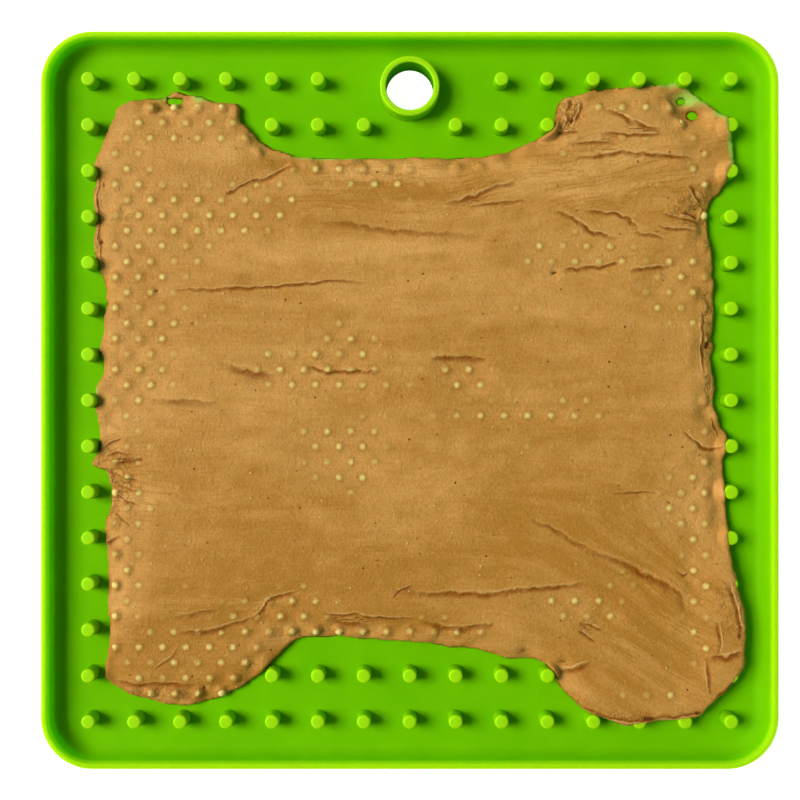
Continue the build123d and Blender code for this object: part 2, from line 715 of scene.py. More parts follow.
        strength = add_node(tree, "ShaderNodeMath", [stain, whole], operation="MULTIPLY")["Value"]
        return (
            add_node(tree, "ShaderNodeMath", [groove, strength], operation="MULTIPLY")["Value"],
            add_node(tree, "ShaderNodeMath", [ridge, carried[Carried.RIDGE]], operation="MULTIPLY")["Value"],
        )

    def nub_spots(
        self, tree: Tree, carried: dict[Carried, Socket], grain: Socket
    ) -> tuple[Socket, Socket, Socket]:
        """Draws what each nub tip does to a thin layer over it.

        Args:
            tree: The material's tree.
            carried: The mesh's values, of which the distance to the nearest nub and the film are used.
            grain: Noise that frays the spots.

        Returns:
            The shares of the spot, of the dome that it swells to and of the painted shade ring round it.
        """
        reach = weighted_sum(tree, carried[Carried.NUB], [(grain, self.spot_raggedness_mm)])
        discs = [
            add_node(tree, "ShaderNodeMapRange", [reach, *run, *FALLING], interpolation_type="SMOOTHSTEP")
            for run in (self.spot_mm, self.dome_mm, self.moat_mm)
        ]
        spot, dome, moat = (
            add_node(tree, "ShaderNodeMath", [disc["Result"], carried[Carried.FILM]], operation="MULTIPLY")
            for disc in discs
        )
        return spot["Value"], dome["Value"], moat["Value"]

    @staticmethod
    def specks(tree: Tree, place: Socket, spacing_mm: float, radius: float) -> Socket:
        """Scatters small bits, some fainter than others.

        Args:
            tree: The material's tree.
            place: The point on the piece.
            spacing_mm: The bits' usual spacing, in millimetres.
            radius: A bit's full radius, as a share of the spacing.

        Returns:
            A share that is up to 1 on a bit.
        """
        cells = add_node(tree, "ShaderNodeTexVoronoi", {"Vector": place, "Scale": pattern_scale(spacing_mm)})
        dot = add_node(
            tree,
            "ShaderNodeMapRange",
            [cells["Distance"], radius, 2 * radius, *FALLING],
            interpolation_type="SMOOTHSTEP",
        )
        chosen = add_node(tree, "ShaderNodeSeparateColor", {"Color": cells["Color"]})
        return add_node(tree, "ShaderNodeMath", [dot["Result"], chosen["Red"]], operation="MULTIPLY")["Value"]


# Matt seamless paper on a light table looks evenly bright, so that only a faint shadow shows on it.
@dataclass(frozen=True)
class StudioPaper:
    """Seamless white paper, lit from below."""

    white: str = "#C8C8C8"
    roughness: float = 0.9
    table_light: str = "#FFFFFF"
    table_strength: float = 0.95

    def material(self) -> Material:
        """Builds the plain white material."""
        return surfaced(
            blank_material("seamless_studio_paper"),
            {
                "Base Color": linear_colour(self.white),
                "Roughness": self.roughness,
                "Emission Color": linear_colour(self.table_light),
                "Emission Strength": self.table_strength,
            },
        )


def node_box(node: str) -> tuple[Vector, Vector]:
    """Gives the lowest and highest corner of a CAD node, in millimetres."""
    low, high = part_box(node)
    return low / MM, high / MM


def lattice_places(node: str, pitch_x: float, pitch_y: float) -> Array:
    """Finds where the like solids of a CAD node stand on a lattice through the mat's middle.

    Args:
        node: The CAD node.
        pitch_x: The lattice's spacing along X, in millimetres.
        pitch_y: The lattice's spacing along Y, in millimetres.

    Returns:
        One row of x and y for each solid, in millimetres.
    """
    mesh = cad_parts[node].data
    corners = np.array([vertex.co[:2] for vertex in mesh.vertices]) / MM
    pitch = np.array([pitch_x, pitch_y])
    return np.unique(np.round(corners / pitch), axis=0) * pitch


def shown_piece(name: str, mesh: bpy.types.Mesh, slot: Slot, *stands_for: str) -> SceneObject:
    """Shows a finished mesh as a piece of the mat, in place of CAD nodes.

    Args:
        name: The piece's name.
        mesh: Its mesh, in place, in metres.
        slot: The record's slot; not used.
        stands_for: The CAD nodes that it replaces.

    Returns:
        The new object.
    """
    piece = bpy.data.objects.new(name, mesh)
    bpy.context.scene.collection.objects.link(piece)
    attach(piece, "root")
    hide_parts(*stands_for)
    return piece


def add_rings(shape: bmesh.types.BMesh, rings: list[tuple[Loop, float]]) -> list[list[bmesh.types.BMVert]]:
    """Adds a row of closed rings, with a skin from each to the next.

    Args:
        shape: The shape that gets them.
        rings: Loops of as many points each, with their heights, in millimetres.

    Returns:
        The new corners of each ring, in metres.
    """
    rows = [[shape.verts.new((x * MM, y * MM, height * MM)) for x, y in ring] for ring, height in rings]
    for row, following in zip(rows, rows[1:]):
        for index in range(len(row)):
            shape.faces.new((row[index - 1], row[index], following[index], following[index - 1]))
    return rows


def finished_mesh(name: str, shape: bmesh.types.BMesh, crease: float) -> bpy.types.Mesh:
    """Turns a closed shape into a mesh with its faces outwards.

    Args:
        name: The mesh's name.
        shape: The shape, which is used up.
        crease: The angle past which an edge stays sharp.

    Returns:
        The mesh.
    """
    bmesh.ops.recalc_face_normals(shape, faces=shape.faces)
    mesh = bpy.data.meshes.new(name)
    shape.to_mesh(mesh)
    shape.free()
    mesh.shade_smooth()
    mesh.set_sharp_from_angle(angle=crease)
    return mesh


def dress_bore(mesh: bpy.types.Mesh, finish: Material, centre: Point, radius: float) -> None:
    """Gives the upright wall of a round hole its own finish.

    Args:
        mesh: The mesh with the hole.
        finish: The wall's material.
        centre: The hole's centre, in millimetres.
        radius: The hole's radius, in millimetres.
    """
    mesh.materials.append(finish)
    last = len(mesh.materials) - 1
    for face in mesh.polygons:
        reach = (face.center.xy / MM - Vector(centre)).length
        if reach < radius and abs(face.normal.z) < UPRIGHT:
            face.material_index = last


def turned_mesh(name: str, section: list[Point], centre: Point, steps: int, crease: float) -> bpy.types.Mesh:
    """Turns a closed section round an upright axis.

    Args:
        name: The mesh's name.
        section: Radii and heights, going round the section once.
        centre: Where the axis stands.
        steps: How many straight steps the turn has.
        crease: The angle past which an edge stays sharp.

    Returns:
        The mesh.
    """
    shape = bmesh.new()
    closed = section + section[:1]
    add_rings(shape, [(arc(centre, radius, 0, 2 * pi, steps)[:-1], height) for radius, height in closed])
    bmesh.ops.remove_doubles(shape, verts=shape.verts, dist=WELD)
    bmesh.ops.delete(shape, geom=[link for link in shape.edges if link.is_wire], context="EDGES")
    return finished_mesh(name, shape, crease)


def arc(centre: Point, radius: float, start: float, end: float, steps: int) -> Loop:
    """Gives points along an arc.

    Args:
        centre: The arc's centre.
        radius: The arc's radius.
        start: The first point's angle.
        end: The last point's angle.
        steps: How many straight steps the arc has.

    Returns:
        The points, both ends included.
    """
    turns = [start + (end - start) * step / steps for step in range(steps + 1)]
    return [(centre[0] + radius * cos(turn), centre[1] + radius * sin(turn)) for turn in turns]


@dataclass
class MouldedTray:
    """The floor panel and the rim as one skin: upright outside, with a rounded lip and a deep cove inside."""

    floor_node: str = "floor_panel"
    rim_node: str = "raised_rim"
    eyelet_node: str = "hanging_eyelet"
    eyelet_wall: float = 1.6
    corner_radius: float = 14.0
    under_bevel: float = 0.6
    lip_width: float = 1.6
    foot_width: float = 2.2
    lip_rounding: float = 0.45
    cove_radius: float = 3.4
    arc_steps: int = 10
    corner_steps: int = 16
    hole_steps: int = 72
    crease: float = 0.7

    def profile(self) -> list[Point]:
        """Works out the skin's section.

        Returns:
            Insets from the mat's edge and heights, from the underside to the floor.
        """
        low, high = node_box(self.floor_node)
        bottom, floor = low.z, high.z
        top = node_box(self.rim_node)[1].z - self.lip_rounding
        lip, soft, cove, bevel = self.lip_width, self.lip_rounding, self.cove_radius, self.under_bevel
        return [
            (bevel, bottom),
            (0.0, bottom + bevel),
            *arc((soft, top), soft, pi, pi / 2, self.arc_steps),
            *arc((lip - soft, top), soft, pi / 2, 0, self.arc_steps),
            *arc((self.foot_width + cove, floor + cove), cove, pi, 1.5 * pi, self.arc_steps),
        ]

    def ring(self, half: float, inset: float) -> Loop:
        """Gives the mat's rounded square moved inwards.

        Args:
            half: Half the mat's side.
            inset: How far inside the mat's edge the loop runs.

        Returns:
            The loop's points, anticlockwise.
        """
        radius = self.corner_radius - inset
        middle = half - self.corner_radius
        corners = ((1, 1), (-1, 1), (-1, -1), (1, -1))
        points = []
        for quarter, (side_x, side_y) in enumerate(corners):
            centre, start = (side_x * middle, side_y * middle), quarter * pi / 2
            points += arc(centre, radius, start, start + pi / 2, self.corner_steps)
        return points

    def build(self, finish: Material, bore_finish: Material) -> SceneObject:
        """Sweeps the section round the mat, closes the floor round the hole and shows the tray.

        Args:
            finish: The tray's material.
            bore_finish: The material of the hole's wall.

        Returns:
            The new object.
        """
        half = node_box(self.rim_node)[1].x
        low, high = node_box(self.eyelet_node)
        centre, radius = ((low.x + high.x) / 2, (low.y + high.y) / 2), high.x - self.eyelet_wall
        hole_ring = arc(centre, radius, 0, 2 * pi, self.hole_steps)[:-1]
        section = self.profile()
        shape = bmesh.new()
        skin = add_rings(shape, [(self.ring(half, inset), height) for inset, height in section])
        hole = add_rings(shape, [(hole_ring, height) for height in (section[0][1], section[-1][1])])
        for level in (0, -1):
            edges = [
                shape.edges.get((loop[index - 1], loop[index]))
                for loop in (skin[level], hole[level])
                for index in range(len(loop))
            ]
            bmesh.ops.triangle_fill(shape, edges=edges, use_beauty=True)
        mesh = finished_mesh("moulded_tray", shape, self.crease)
        mesh.materials.append(finish)
        dress_bore(mesh, bore_finish, centre, radius)
        return shown_piece("moulded_tray", mesh, Slot.SILICONE, self.floor_node, self.rim_node)


@dataclass
class HangingEyelet:
    """The collar round the hanging hole, rounded on top and filleted into the floor."""

    node: str = "hanging_eyelet"
    wall: float = 1.6
    lip_rounding: float = 0.4
    top_dip: float = 0.1
    foot_fillet: float = 0.3
    arc_steps: int = 6
    turn_steps: int = 72
    crease: float = 0.9

    def build(self, finish: Material, bore_finish: Material) -> SceneObject:
        """Turns the collar's section round the hole and shows it in place of the CAD collar.

        Args:
            finish: The collar's material.
            bore_finish: The material of the hole's wall.

        Returns:
            The new object.
        """
        low, high = node_box(self.node)
        centre = (low + high) / 2
        outer = high.x
        inner = outer - self.wall
        soft, foot = self.lip_rounding, self.foot_fillet
        top = high.z - soft
        section = [
            (inner, low.z),
            *arc((inner + soft, top), soft, pi, pi / 2, self.arc_steps),
            ((inner + outer) / 2, high.z - self.top_dip),
            *arc((outer - soft, top), soft, pi / 2, 0, self.arc_steps),
            *arc((outer + foot, low.z + foot), foot, pi, 1.5 * pi, self.arc_steps),
        ]
        mesh = turned_mesh("hanging_eyelet_ring", section, (centre.x, centre.y), self.turn_steps, self.crease)
        mesh.materials.append(finish)
        dress_bore(mesh, bore_finish, (centre.x, centre.y), inner)
        return shown_piece("hanging_eyelet_ring", mesh, Slot.SILICONE, self.node)


class NodeRecipe:
    """A Geometry Nodes tree with named inputs, which is run once on an object and leaves a plain mesh."""

    def __init__(self, name: str, inputs: dict[str, str]) -> None:
        """Starts the tree.

        Args:
            name: The tree's name.
            inputs: For each input's name, its socket type.
        """
        self.tree = bpy.data.node_groups.new(name, "GeometryNodeTree")
        self.sockets = {
            label: self.tree.interface.new_socket(label, in_out="INPUT", socket_type=kind).identifier
            for label, kind in inputs.items()
        }
        self.tree.interface.new_socket("Geometry", in_out="OUTPUT", socket_type="NodeSocketGeometry")
        self.source = add_node(self.tree, "NodeGroupInput")

    def node(self, kind: str, links: Links | None = None, **settings: Any) -> Outputs:
        """Adds a node to the tree and gives its outputs."""
        return add_node(self.tree, kind, links, **settings)

    def end(self, instances: Socket) -> None:
        """Ends the tree: the instances become real and take the finish.

        Args:
            instances: What the tree has set out.
        """
        real = self.node("GeometryNodeRealizeInstances", {"Geometry": instances})
        dressed = self.node(
            "GeometryNodeSetMaterial",
            {"Geometry": real["Geometry"], "Material": self.source["Finish"]},
        )
        self.node("NodeGroupOutput", {"Geometry": dressed["Geometry"]})

    def run(self, name: str, places: Array, height: float, values: dict[str, Any]) -> bpy.types.Mesh:
        """Runs the tree on points and keeps the result.

        Args:
            name: The mesh's name.
            places: One row of x and y for each point, in millimetres.
            height: The points' height, in millimetres.
            values: For each input's name, its value.

        Returns:
            The finished mesh.
        """
        points = bpy.data.meshes.new(name + "_places")
        points.from_pydata([(x * MM, y * MM, height * MM) for x, y in places], [], [])
        carrier = bpy.data.objects.new(name + "_places", points)
        bpy.context.scene.collection.objects.link(carrier)
        modifier = carrier.modifiers.new(self.tree.name, "NODES")
        modifier.node_group = self.tree
        for label, value in values.items():
            modifier[self.sockets[label]] = value
        mesh = bpy.data.meshes.new_from_object(carrier.evaluated_get(bpy.context.evaluated_depsgraph_get()))
        mesh.name = name
        carrier.modifiers.remove(modifier)
        bpy.data.objects.remove(carrier)
        bpy.data.meshes.remove(points)
        return mesh


class StudRecipe(NodeRecipe):
    """Stands a rounded, tapered stud on each point. Pegs and nubs are the same form at other sizes."""

    # A ball's corners further down than this are cut away, in radii.
    CUT = -0.001

    # The foot's corners and the dome's are merged within this, in metres.
    SEAM = 1e-5

    # How a corner of the unit ball moves to the stud, on a superellipse whose power is the squareness.
    # Each row has the result's name, the kind of sum and its terms: earlier results, inputs or numbers.
    SUMS = (
        ("level", "MAXIMUM", "Z", 0.0),
        ("level squared", "MULTIPLY", "level", "level"),
        ("rest", "SUBTRACT", 1.0, "level squared"),
        ("flat squared", "MAXIMUM", "rest", 0.0),
        ("flat", "SQRT", "flat squared"),
        ("flat power", "POWER", "flat", "Squareness"),
        ("level power", "POWER", "level", "Squareness"),
        ("total", "ADD", "flat power", "level power"),
        ("root", "DIVIDE", -1.0, "Squareness"),
        ("push", "POWER", "total", "root"),
        ("rise", "MULTIPLY", "level", "push"),
        ("lean", "SUBTRACT", "Tip Radius", "Base Radius"),
        ("width", "MULTIPLY_ADD", "lean", "rise", "Base Radius"),
        ("reach", "MULTIPLY", "width", "push"),
        ("stud x", "MULTIPLY", "X", "reach"),
        ("stud y", "MULTIPLY", "Y", "reach"),
        ("stud z", "MULTIPLY", "rise", "Height"),
    )

    def __init__(self) -> None:
        """Builds the tree: a half ball pushed out to a squarer, tapered form, with a flat foot."""
        super().__init__(
            "rounded_studs",
            {
                "Places": "NodeSocketGeometry",
                "Base Radius": "NodeSocketFloat",
                "Tip Radius": "NodeSocketFloat",
                "Height": "NodeSocketFloat",
                "Squareness": "NodeSocketFloat",
                "Sides": "NodeSocketInt",
                "Rings": "NodeSocketInt",
                "Finish": "NodeSocketMaterial",
            },
        )
        source = self.source
        ball = self.node("GeometryNodeMeshUVSphere", {"Segments": source["Sides"], "Rings": source["Rings"]})
        corner = self.node("GeometryNodeInputPosition")["Position"]
        place = self.node("ShaderNodeSeparateXYZ", {"Vector": corner})
        below = self.node("FunctionNodeCompare", {"A": place["Z"], "B": self.CUT}, operation="LESS_THAN")
        dome = self.node(
            "GeometryNodeDeleteGeometry",
            {"Geometry": ball["Mesh"], "Selection": below["Result"]},
        )
        shaped = self.node(
            "GeometryNodeSetPosition",
            {"Geometry": dome["Geometry"], "Position": self.stud_surface(place)},
        )
        smooth = self.node("GeometryNodeSetShadeSmooth", {"Geometry": shaped["Geometry"]})
        foot = self.node(
            "GeometryNodeMeshCircle",
            {"Vertices": source["Sides"], "Radius": source["Base Radius"]},
            fill_type="NGON",
        )
        turned = self.node("GeometryNodeFlipFaces", {"Mesh": foot["Mesh"]})
        flat = self.node("GeometryNodeSetShadeSmooth", {"Geometry": turned["Mesh"], "Shade Smooth": False})
        join = self.node("GeometryNodeJoinGeometry", {"Geometry": [flat["Geometry"], smooth["Geometry"]]})
        stud = self.node("GeometryNodeMergeByDistance", {"Geometry": join["Geometry"], "Distance": self.SEAM})
        studs = self.node(
            "GeometryNodeInstanceOnPoints",
            {"Points": source["Places"], "Instance": stud["Geometry"]},
        )
        self.end(studs["Instances"])

    def stud_surface(self, place: Outputs) -> Socket:
        """Moves a corner of the unit ball to the stud.

        Args:
            place: The corner's X, Y and Z.

        Returns:
            Its new position.
        """
        values = {socket.name: socket for outputs in (place, self.source) for socket in outputs}
        for name, operation, *terms in self.SUMS:
            links = [values.get(term, term) for term in terms]
            values[name] = self.node("ShaderNodeMath", links, operation=operation)["Value"]
        position = [values[name] for name in ("stud x", "stud y", "stud z")]
        return self.node("ShaderNodeCombineXYZ", position)["Vector"]


@dataclass
class StudField:
    """Like studs of one CAD node, standing where its solids stand."""

    node: str
    pitch_x: float
    pitch_y: float
    base_radius: float
    tip_radius: float
    squareness: float
    sides: int
    rings: int
    slot: Slot = Slot.SILICONE

    def places(self) -> Array:
        """Gives the studs' places, in millimetres."""
        return lattice_places(self.node, self.pitch_x, self.pitch_y)

    def build(self, recipe: StudRecipe, finish: Material) -> SceneObject:
        """Stands the studs on the floor and shows them in place of the CAD node.

        Args:
            recipe: The tree that makes a stud on each point.
            finish: The studs' material.

        Returns:
            The new object.
        """
        low, high = node_box(self.node)
        name = "rounded_" + self.node
        mesh = recipe.run(
            name,
            self.places(),
            low.z,
            {
                "Base Radius": self.base_radius * MM,
                "Tip Radius": self.tip_radius * MM,
                "Height": (high.z - low.z) * MM,
                "Squareness": self.squareness,
                "Sides": self.sides,
                "Rings": self.rings,
                "Finish": finish,
            },
        )
        return shown_piece(name, mesh, self.slot, self.node)


@dataclass
class PegField(StudField):
    """The straight round pegs of one side of the mat's border."""

    pitch_x: float = 12.5
    pitch_y: float = 12.5
    base_radius: float = 2.0
    tip_radius: float = 1.92
    squareness: float = 15.0
    sides: int = 28
    rings: int = 40


@dataclass
class NubField(StudField):
    """The small domed nubs that fill the bone, light because there are hundreds of them."""

    node: str = "licking_nubs"
    pitch_x: float = 3.225
    pitch_y: float = 4.22
    base_radius: float = 1.45
    tip_radius: float = 1.4
    squareness: float = 3.0
    sides: int = 10
    rings: int = 8


class CupRecipe(NodeRecipe):
    """Sets one cup on each point."""

    def __init__(self) -> None:
        """Builds the tree."""
        super().__init__(
            "set_out_cups",
            {"Places": "NodeSocketGeometry", "Cup": "NodeSocketObject", "Finish": "NodeSocketMaterial"},
        )
        cup = self.node("GeometryNodeObjectInfo", {"Object": self.source["Cup"]})
        cups = self.node(
            "GeometryNodeInstanceOnPoints",
            {"Points": self.source["Places"], "Instance": cup["Geometry"]},
        )
        self.end(cups["Instances"])


@dataclass
class SuctionCups:
    """The shallow flared cups under the floor panel, with thin lips and a round hollow."""

    node: str = "suction_cups"
    cups_per_side: int = 3
    lip_radius: float = 12.0
    lip_thickness: float = 0.6
    lip_land: float = 0.8
    neck_radius: float = 6.0
    neck_length: float = 0.8
    hollow_depth: float = 2.2
    turn_steps: int = 64
    flare_steps: int = 8
    flare_power: float = 1.4
    crease: float = 0.7

    def section(self, height: float) -> list[Point]:
        """Gives half a cup's section as radii and heights, going round it once.

        Args:
            height: The cup's height.

        Returns:
            The section's points.
        """
        hollow_radius = self.lip_radius - self.lip_land
        shares = [step / self.flare_steps for step in range(self.flare_steps + 1)]
        hollow = [
            (hollow_radius * (1 - share), self.hollow_depth * sin(share * pi / 2))
            for share in shares
        ]
        run = self.lip_radius - self.neck_radius
        rise = height - self.neck_length - self.lip_thickness
        flare = [
            (self.neck_radius + run * (1 - share) ** self.flare_power, self.lip_thickness + rise * share)
            for share in reversed(shares)
        ]
        return [
            *hollow,
            (0.0, height),
            (self.neck_radius, height),
            *flare,
            (self.lip_radius, 0.0),
        ]

    def build(self, finish: Material) -> SceneObject:
        """Turns one cup, sets it out in a grid and shows the cups in place of the CAD node.

        Args:
            finish: The cups' material.

        Returns:
            The new object.
        """
        low, high = node_box(self.node)
        section = self.section(high.z - low.z)
        one_cup = turned_mesh("one_cup", section, (0, 0), self.turn_steps, self.crease)
        cup = bpy.data.objects.new("one_cup", one_cup)
        bpy.context.scene.collection.objects.link(cup)
        line = np.linspace(low.x + self.lip_radius, high.x - self.lip_radius, self.cups_per_side)
        places = np.array([(x, y) for y in line for x in line])
        mesh = CupRecipe().run("flared_suction_cups", places, low.z, {"Cup": cup, "Finish": finish})
        bpy.data.objects.remove(cup)
        return shown_piece("flared_suction_cups", mesh, Slot.SILICONE, self.node)


@dataclass(frozen=True)
class Patch:
    """A soft-edged oval on the spread, in millimetres from the mat's middle."""

    x: float
    y: float
    reach_x: float
    reach_y: float
    strength: float = 1.0

    def away(self, x: Array, y: Array) -> Array:
        """Measures points from the oval's middle, as shares of its reach."""
        return np.hypot((x - self.x) / self.reach_x, (y - self.y) / self.reach_y)


@dataclass(frozen=True)
class KnifeMark:
    """A groove that the knife left along a route, painted dark as its shade and its oil, with a ridge pushed
    up on its left, in millimetres.
    """

    route: tuple[Point, ...]
    ridge: float
    width: float = 0.7
    stain: float = 0.5


@dataclass(frozen=True)
class Ripple:
    """Smooth random waves of one size, in millimetres, with shifts that keep them apart from other waves."""

    length: float
    width: float
    height: float
    shift_along: float = 0.0
    shift_across: float = 0.0

    def read(self, noise: SmoothNoise, along: Array, across: Array) -> Array:
        """Gives the waves' height.

        Args:
            noise: The random values.
            along: Distances along the waves, in millimetres.
            across: Distances across them, in millimetres.

        Returns:
            The height at each place.
        """
        columns, rows = along / self.length + self.shift_along, across / self.width + self.shift_across
        return self.height * noise(columns, rows)


@dataclass(frozen=True)
class Swing:
    """A turn of the knife's strokes towards a corner of the mat, from a start to an end, in millimetres."""

    lift: float
    start: Point
    end: Point

    def read(self, x: Array, y: Array) -> Array:
        """Gives how far across the strokes have swung at each point."""
        return self.lift * ease(x, self.start[0], self.end[0]) * ease(y, self.start[1], self.end[1])


# The spread's edge on the floor, clockwise from the left side of the upper left lobe.
SPREAD_OUTLINE: tuple[Point, ...] = (
    (-86.8, 41.5), (-87.1, 45.5), (-86.9, 50.0), (-87.1, 55.0), (-86.6, 60.0), (-87.2, 65.0), (-86.7, 67.0),
    (-85.3, 70.0), (-83.0, 75.0), (-81.6, 78.0), (-80.5, 80.0), (-78.4, 82.0), (-74.8, 83.0), (-70.0, 83.2),
    (-67.2, 84.0), (-65.1, 85.0), (-63.2, 84.9), (-60.5, 84.3), (-57.6, 84.0), (-53.9, 82.7), (-50.0, 82.0),
    (-47.0, 81.3), (-46.7, 78.5), (-46.0, 77.0), (-43.7, 74.4), (-41.0, 71.7), (-38.9, 70.2), (-36.0, 68.8),
    (-33.1, 67.7), (-30.3, 67.2), (-25.2, 67.1), (-19.5, 66.8), (-12.3, 66.7), (-5.2, 66.7), (0.0, 67.0),
    (5.6, 67.0), (16.8, 67.0), (25.6, 68.1), (30.5, 70.2), (33.2, 71.6), (37.4, 73.1), (38.7, 74.8),
    (39.5, 76.7), (40.4, 79.7), (41.0, 82.0), (42.3, 83.3), (45.5, 84.3), (50.1, 85.6), (55.2, 86.0),
    (61.1, 86.4), (66.2, 86.9), (70.0, 87.3), (73.8, 87.7), (76.8, 86.0), (79.7, 83.7), (83.5, 80.9),
    (87.1, 78.0), (88.2, 74.2), (89.0, 70.8), (89.4, 67.0), (89.4, 65.3), (88.2, 62.7), (87.1, 59.8),
    (85.2, 56.8), (83.3, 54.7), (82.5, 52.2), (81.8, 48.8), (82.2, 46.2), (82.9, 43.7), (83.5, 40.3),
    (83.7, 36.1), (83.8, 33.2), (83.9, 29.1), (83.8, 25.0), (83.9, 22.2), (83.6, 19.4), (83.6, 14.9),
    (83.4, 10.9), (83.7, 8.1), (84.4, 5.3), (84.1, 2.4), (83.8, 0.0), (83.8, -2.0), (85.0, -4.5),
    (86.0, -6.9), (87.2, -8.5), (87.0, -10.5), (86.9, -13.4), (86.6, -16.2), (86.5, -19.4), (86.8, -23.5),
    (86.9, -26.8), (87.4, -31.6), (87.6, -36.4), (88.3, -41.1), (88.8, -45.0), (89.8, -48.8), (90.5, -51.7),
    (91.4, -55.0), (91.9, -58.4), (92.4, -61.7), (92.5, -65.1), (92.2, -68.9), (91.9, -72.7), (91.4, -74.1),
    (89.8, -76.5), (86.9, -79.6), (84.0, -82.3), (81.6, -84.7), (79.7, -86.8), (76.8, -87.5), (72.1, -88.0),
    (68.2, -87.8), (64.4, -88.7), (59.1, -89.2), (55.3, -88.2), (51.0, -86.3), (47.2, -84.6), (44.3, -82.3),
    (41.6, -79.0), (39.8, -76.1), (37.9, -73.4), (35.8, -71.8), (32.1, -71.0), (27.8, -71.4), (23.0, -70.0),
    (17.1, -68.7), (11.3, -68.2), (5.4, -67.1), (1.1, -66.7), (-5.3, -66.4), (-11.7, -65.9), (-19.1, -65.4),
    (-25.0, -65.3), (-29.9, -65.7), (-32.0, -66.5), (-33.7, -68.2), (-35.4, -70.1), (-38.3, -73.1),
    (-41.7, -76.0), (-44.7, -78.1), (-48.0, -80.0), (-51.4, -81.5), (-54.4, -82.6), (-57.8, -83.4),
    (-61.2, -84.1), (-65.0, -84.3), (-68.8, -83.4), (-72.2, -82.6), (-76.4, -81.5), (-79.4, -80.0),
    (-82.1, -78.1), (-83.8, -76.9), (-84.1, -75.2), (-83.8, -72.2), (-83.3, -69.3), (-82.8, -65.0),
    (-83.0, -60.8), (-83.3, -56.0), (-83.2, -49.8), (-83.3, -43.6), (-83.8, -38.8), (-84.4, -36.6),
    (-84.4, -34.7), (-83.6, -32.2), (-82.7, -30.3), (-82.3, -27.7), (-82.5, -24.4), (-83.1, -21.8),
    (-83.8, -19.6), (-86.2, -18.5), (-87.5, -17.2), (-85.7, -13.7), (-85.1, -11.1), (-85.5, -7.8),
    (-85.8, -4.9), (-86.8, -2.0), (-86.6, 2.8), (-86.0, 5.0), (-84.7, 8.0), (-84.5, 10.2), (-85.3, 12.4),
    (-85.7, 14.2), (-85.5, 15.7), (-84.5, 19.0), (-84.4, 20.9), (-84.0, 24.2), (-83.8, 26.7), (-84.2, 28.6),
    (-83.8, 30.0), (-84.2, 32.3), (-85.3, 34.8), (-86.0, 36.7), (-86.6, 39.3),
)

# Where the green floor shows through a gap in the layer.
BARE_GAPS: tuple[Patch, ...] = (
    Patch(-64.4, 82.6, 2.2, 0.9),
    Patch(77.9, 78.5, 1.7, 1.0),
    Patch(75.0, 82.4, 1.1, 0.9),
)

# Where the knife wiped the layer down to the nub tips.
THIN_PATCHES: tuple[Patch, ...] = (
    Patch(-64.0, 78.0, 22.0, 9.0),
    Patch(-79.0, 62.0, 8.0, 18.0),
    Patch(-76.0, 30.0, 12.0, 38.0),
    Patch(-56.0, 51.0, 26.0, 9.0),
    Patch(-66.0, 40.0, 14.0, 12.0, 0.8),
    Patch(-42.0, 54.0, 12.0, 8.0),
    Patch(-14.0, 61.5, 18.0, 4.5, 0.85),
    Patch(-26.0, 8.0, 21.0, 8.0),
    Patch(-19.0, 14.0, 10.0, 7.0, 0.8),
    Patch(15.0, 7.5, 7.0, 5.0),
    Patch(31.0, -4.0, 21.0, 2.5, 0.9),
    Patch(-18.0, -15.0, 14.0, 10.0, 0.8),
    Patch(44.0, 40.0, 17.0, 6.0),
    Patch(75.0, 30.0, 10.0, 12.0),
    Patch(82.0, 72.0, 6.0, 14.0),
    Patch(64.0, 83.0, 22.0, 4.5),
    Patch(-79.0, -40.0, 7.0, 30.0),
    Patch(-68.0, -73.0, 18.0, 13.0),
    Patch(-36.0, -63.0, 14.0, 11.0),
    Patch(-8.0, -63.5, 34.0, 3.5, 0.9),
    Patch(46.0, -56.5, 12.0, 5.0),
    Patch(60.0, -50.0, 8.0, 4.0, 0.7),
    Patch(81.0, -46.0, 6.0, 36.0),
    Patch(70.0, -82.0, 15.0, 4.0),
    Patch(76.0, -27.0, 8.0, 8.0),
)

# Where the layer is torn or crumbly.
ROUGH_PATCHES: tuple[Patch, ...] = (
    Patch(-81.0, -22.0, 6.0, 11.0, 0.8),
    Patch(78.0, 52.0, 7.0, 5.0, 0.9),
    Patch(43.0, 78.5, 4.0, 6.0),
    Patch(82.0, 13.0, 2.4, 16.0),
    Patch(88.0, -56.0, 4.0, 12.0, 0.6),
    Patch(62.0, -86.5, 16.0, 2.0, 0.7),
    Patch(-70.0, -81.0, 12.0, 2.5, 0.7),
    Patch(-86.0, 50.0, 1.8, 22.0, 0.7),
    Patch(48.0, -62.0, 4.0, 2.0, 0.7),
    Patch(-71.0, 29.5, 3.0, 2.0, 0.7),
    Patch(-78.0, 51.5, 3.0, 2.5, 0.5),
)

# Where the knife left fine parallel lines.
COMBED_PATCHES: tuple[Patch, ...] = (
    Patch(-2.0, 57.0, 32.0, 8.0),
    Patch(54.0, 62.0, 26.0, 10.0),
    Patch(70.0, -60.0, 16.0, 22.0, 0.8),
    Patch(-50.0, -55.0, 22.0, 9.0, 0.5),
    Patch(-74.0, -24.0, 8.0, 7.0, 0.8),
)

